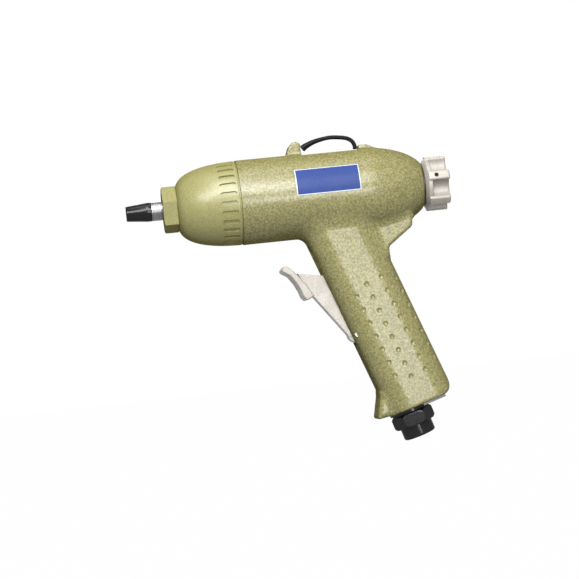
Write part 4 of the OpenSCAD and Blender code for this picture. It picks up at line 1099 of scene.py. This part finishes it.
def bail():
    """The hanger's arch: a coated wire, thicker where it leaves the ear."""
    tilt = math.asin(BAIL_DROP / BAIL_SPAN)
    shave = BAIL_TIP_ROUND * 0.3
    path, along = smooth_path([(u * BAIL_SPAN, v * BAIL_RISE) for u, v in BAIL_SHARES], 6)
    bm = bmesh.new()
    rings = []

    def ring(at, side, r):
        turns = [2 * math.pi * k / BAIL_SIDES for k in range(BAIL_SIDES)]
        flat = [at + side * (r * math.cos(a)) for a in turns]
        rings.append([bm.verts.new((EAR_BACK + p.x * math.cos(tilt) + p.y * math.sin(tilt), r * math.sin(a),
                                    BAIL_Z - p.x * math.sin(tilt) + p.y * math.cos(tilt)))
                      for p, a in zip(flat, turns)])

    for i, (at, share) in enumerate(zip(path, along)):
        step = (path[min(i + 1, len(path) - 1)] - path[max(i - 1, 0)]).normalized()
        side = Vector((-step.y, step.x))
        r = BAIL_END_R + (BAIL_WIRE_R - BAIL_END_R) * min(share / BAIL_TAPER_SHARE, 1)
        if i == 0:
            ring(at, side, r - BAIL_TIP_ROUND)
            ring(at + step * shave, side, r - shave)
        elif i == len(path) - 1:
            ring(at - step * shave, side, r - shave)
            ring(at, side, r - BAIL_TIP_ROUND)
        else:
            ring(at, side, r)
    capped(bm, rings)
    return fit(finished("bail_wire", bm, sharp=50), "hanger", "coated_wire", "bail")


def label_sheet(name, margin, low_r, high_r):
    """A sheet bent round the barrel, with its edges drawn in by margin."""
    bm = bmesh.new()
    half = (LABEL_W / 2 - margin) / BARREL_R
    turns = [LABEL_TURN - half + 2 * half * k / LABEL_STEPS for k in range(LABEL_STEPS + 1)]
    corners = ((LABEL_X + margin, low_r), (LABEL_X + LABEL_LEN - margin, low_r),
               (LABEL_X + LABEL_LEN - margin, high_r), (LABEL_X + margin, high_r))
    rings = [[bm.verts.new((x, -r * math.cos(a), r * math.sin(a))) for x, r in corners] for a in turns]
    capped(bm, rings)
    return finished(name, bm, sharp=40)


def label():
    """The blue film on its backing, whose edge shows all round."""
    foot_r, backing_r = (BARREL_R + LABEL_T * share for share in (LABEL_FOOT_SHARE, LABEL_BACKING_SHARE))
    fit(label_sheet("label_backing", 0, foot_r, backing_r), "casing", "label_backing", "label")
    film = label_sheet("label_face", LABEL_BORDER, backing_r, BARREL_R + LABEL_T)
    return fit(film, "casing", "blue_label", "label")


def inlet_field(x, y, z):
    """The bushing along its own axis, x, which is zero at the grip's foot and grows towards the mouth."""
    r = np.hypot(y, z)
    boss = keep(r - INLET_BOSS_R, np.maximum(-INLET_BOSS_LEN - x, x - HEX_X - OVERRUN), INLET_EDGE)
    side = z * math.cos(INLET_TURN) - y * math.sin(INLET_TURN)
    face = y * math.cos(INLET_TURN) + z * math.sin(INLET_TURN)
    ends = np.maximum(HEX_X - x, x - HEX_END)
    cone = (r - INLET_HALF * (1 - HEX_CHAMFER_SHARE) - INLET_CHAMFER + ends) / math.sqrt(2)
    hexed = keep(keep(hexagon(side, face, INLET_HALF), ends, INLET_EDGE), cone, INLET_EDGE)
    collar = keep(r - COLLAR_R, np.maximum(HEX_END - OVERRUN - x, x - MOUTH_X), COLLAR_ROUND)
    return np.minimum(np.minimum(boss, hexed), collar)


def inlet():
    """The inlet bushing, built along its own axis and then set in the grip's foot."""
    corner_r = INLET_HALF / math.cos(math.pi / 6)
    box = (-INLET_BOSS_LEN, -corner_r, -corner_r), (MOUTH_X, corner_r, corner_r)
    body = mesh_object("inlet_bushing_body", *net(inlet_field, *box, FINE_CELL), sharp=40)
    cut(body, [tube_cutter((MOUTH_X - INLET_THREAD_LEN, 0, 0), (MOUTH_X + OVERRUN, 0, 0), INLET_THREAD_R),
               tube_cutter((-INLET_BOSS_LEN - OVERRUN, 0, 0), (MOUTH_X, 0, 0), INLET_BORE_R)], sharp=35)
    lean = RAKE - INLET_TILT
    outward = Vector((math.sin(lean), 0, -math.cos(lean)))
    place = Matrix.Translation(grip_point(INLET_W, 0, GRIP_LEN)) @ Matrix(
        (outward, (0, 1, 0), outward.cross((0, 1, 0)))).transposed().to_4x4()
    body.data.transform(place)
    return fit(body, "casing", "black_steel", "inlet_bushing")


def coil_spring(name, place, length, r, wire_r, turns):
    """A compression spring along its own x, whose end turns lie closed on its seats."""
    bm = bmesh.new()
    rings = []
    open_turns = turns - 2 * SPRING_CLOSED
    rise = length - 2 * wire_r * (1 + 2 * SPRING_CLOSED)
    for i in range(turns * SPRING_STEPS + 1):
        at = i / SPRING_STEPS
        climbed = max(0, min(open_turns, at - SPRING_CLOSED))
        x = wire_r + rise * climbed / open_turns + 2 * wire_r * (at - climbed)
        a = 2 * math.pi * at
        ring = []
        for k in range(SPRING_SIDES):
            b = 2 * math.pi * k / SPRING_SIDES
            out = r + wire_r * math.cos(b)
            point = Vector((x + wire_r * math.sin(b), out * math.cos(a), out * math.sin(a)))
            ring.append(bm.verts.new(place @ point))
        rings.append(ring)
    capped(bm, rings)
    return finished(name, bm, sharp=60)


def springs():
    """The clutch's and the throttle's springs, each on a mesh of its own."""
    clutch = coil_spring("clutch_spring_wire", Matrix.Translation((CAM_END, 0, 0)), CLUTCH_SPRING_LEN,
                         CLUTCH_SPRING_R, CLUTCH_WIRE_R, CLUTCH_TURNS)
    fit(clutch, "output_spindle", "bright_steel", "clutch_spring")
    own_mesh(clutch)
    across = Matrix.Rotation(-RAKE, 4, "Y")
    place = Matrix.Translation(grip_point(THROTTLE_SPRING_W, 0, THROTTLE_S)) @ across
    throttle = coil_spring("throttle_spring_wire", place, THROTTLE_SPRING_LEN,
                           THROTTLE_SPRING_R, THROTTLE_WIRE_R, THROTTLE_TURNS)
    fit(throttle, "casing", "bright_steel", "throttle_spring")
    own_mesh(throttle)


housing()
springs()
clutch_shell()
nose_nut()
bit_holder()
knob()
trigger()
bail()
label()
inlet()


# Camera at the photograph's angle
AIM = Vector((24.5 * MM, 0, -53.9 * MM))
CAMERA_FAR = 1.0
FRAME_W = 341.6 * MM
SENSOR_W = 36
AZIMUTH, ELEVATION, ROLL = math.radians(-6), math.radians(-2), math.radians(6.3)
lens = bpy.data.cameras.new("view")
lens.sensor_width = SENSOR_W
lens.lens = SENSOR_W * CAMERA_FAR / FRAME_W
camera = bpy.data.objects.new("view", lens)
bpy.context.scene.collection.objects.link(camera)
back = Vector((math.sin(AZIMUTH) * math.cos(ELEVATION), -math.cos(AZIMUTH) * math.cos(ELEVATION),
               math.sin(ELEVATION)))
right = Vector((0, 0, 1)).cross(back).normalized()
up = back.cross(right)
rolled_right = right * math.cos(ROLL) - up * math.sin(ROLL)
rolled_up = right * math.sin(ROLL) + up * math.cos(ROLL)
turn = Matrix((rolled_right, rolled_up, back)).transposed().to_4x4()
camera.matrix_world = Matrix.Translation(AIM + back * CAMERA_FAR) @ turn
bpy.context.scene.camera = camera


# Stage: a pale floor well below the tool, soft lamps and a white surround
FLOOR_Z = -235 * MM
FLOOR_HALF = 6.0
FLOOR_WHITE = 0.99
AMBIENT = 0.03
# Each lamp's name, azimuth and elevation in degrees, distance, width and height in metres, and watts
LAMPS = [("key", -8, 46, 1.3, (0.3, 0.85), 12),
         ("barrel_gloss", 6, 30, 1.3, (0.3, 0.6), 9),
         ("nose_gloss", -22, 24, 1.3, (0.35, 0.5), 8),
         ("front", 7, -4, 1.6, (0.45, 0.36), 10),
         ("top", 0, 80, 1.4, (0.8, 0.5), 4.5),
         ("rear", 172, 28, 1.8, (0.9, 0.9), 12)]


def white_to_camera(tree, shader, strength, white):
    """Shows white to the camera and to gloss and glass, and the plain shader to the rest."""
    path = tree.nodes.new("ShaderNodeLightPath")
    mirrored = math_node(tree, "MAXIMUM", path.outputs["Is Glossy Ray"], path.outputs["Is Transmission Ray"])
    seen = math_node(tree, "MAXIMUM", path.outputs["Is Camera Ray"], mirrored)
    mix = tree.nodes.new("ShaderNodeMixShader")
    tree.links.new(math_node(tree, "MULTIPLY", seen, strength), mix.inputs["Fac"])
    tree.links.new(shader, mix.inputs[1])
    tree.links.new(white, mix.inputs[2])
    return mix.outputs[0]


def floor():
    h = FLOOR_HALF
    obj = mesh_object("floor", [(-h, -h, FLOOR_Z), (h, -h, FLOOR_Z), (h, h, FLOOR_Z), (-h, h, FLOOR_Z)],
                      [(0, 1, 2, 3)])
    material = bpy.data.materials.new("pale_floor")
    material.use_nodes = True
    tree = material.node_tree
    shader = tree.nodes["Principled BSDF"]
    shader.inputs["Base Color"].default_value = (0.2, 0.2, 0.2, 1)
    shader.inputs["Roughness"].default_value = 0.9
    glow = tree.nodes.new("ShaderNodeEmission")
    tree.links.new(white_to_camera(tree, shader.outputs[0], FLOOR_WHITE, glow.outputs[0]),
                   tree.nodes["Material Output"].inputs["Surface"])
    dress(obj, material)


def surround():
    world = bpy.data.worlds.new("surround")
    bpy.context.scene.world = world
    world.use_nodes = True
    tree = world.node_tree
    ambient = tree.nodes["Background"]
    ambient.inputs["Color"].default_value = (0.92, 0.95, 1.0, 1)
    ambient.inputs["Strength"].default_value = AMBIENT
    white = tree.nodes.new("ShaderNodeBackground")
    white.inputs["Color"].default_value = (1, 1, 1, 1)
    tree.links.new(white_to_camera(tree, ambient.outputs[0], 1.0, white.outputs[0]),
                   tree.nodes["World Output"].inputs["Surface"])


def softbox(name, azimuth, elevation, distance, size, power):
    """A soft rectangular lamp that faces the tool."""
    data = bpy.data.lights.new(name, "AREA")
    data.shape = "RECTANGLE"
    data.size, data.size_y = size
    data.energy = power
    lamp = bpy.data.objects.new(name, data)
    bpy.context.scene.collection.objects.link(lamp)
    a, e = math.radians(azimuth), math.radians(elevation)
    away = Vector((math.sin(a) * math.cos(e), -math.cos(a) * math.cos(e), math.sin(e)))
    lamp.location = AIM + away * distance
    lamp.rotation_euler = away.to_track_quat("Z", "Y").to_euler()


floor()
surround()
for lamp in LAMPS:
    softbox(*lamp)
bpy.context.scene.view_settings.view_transform = "Standard"
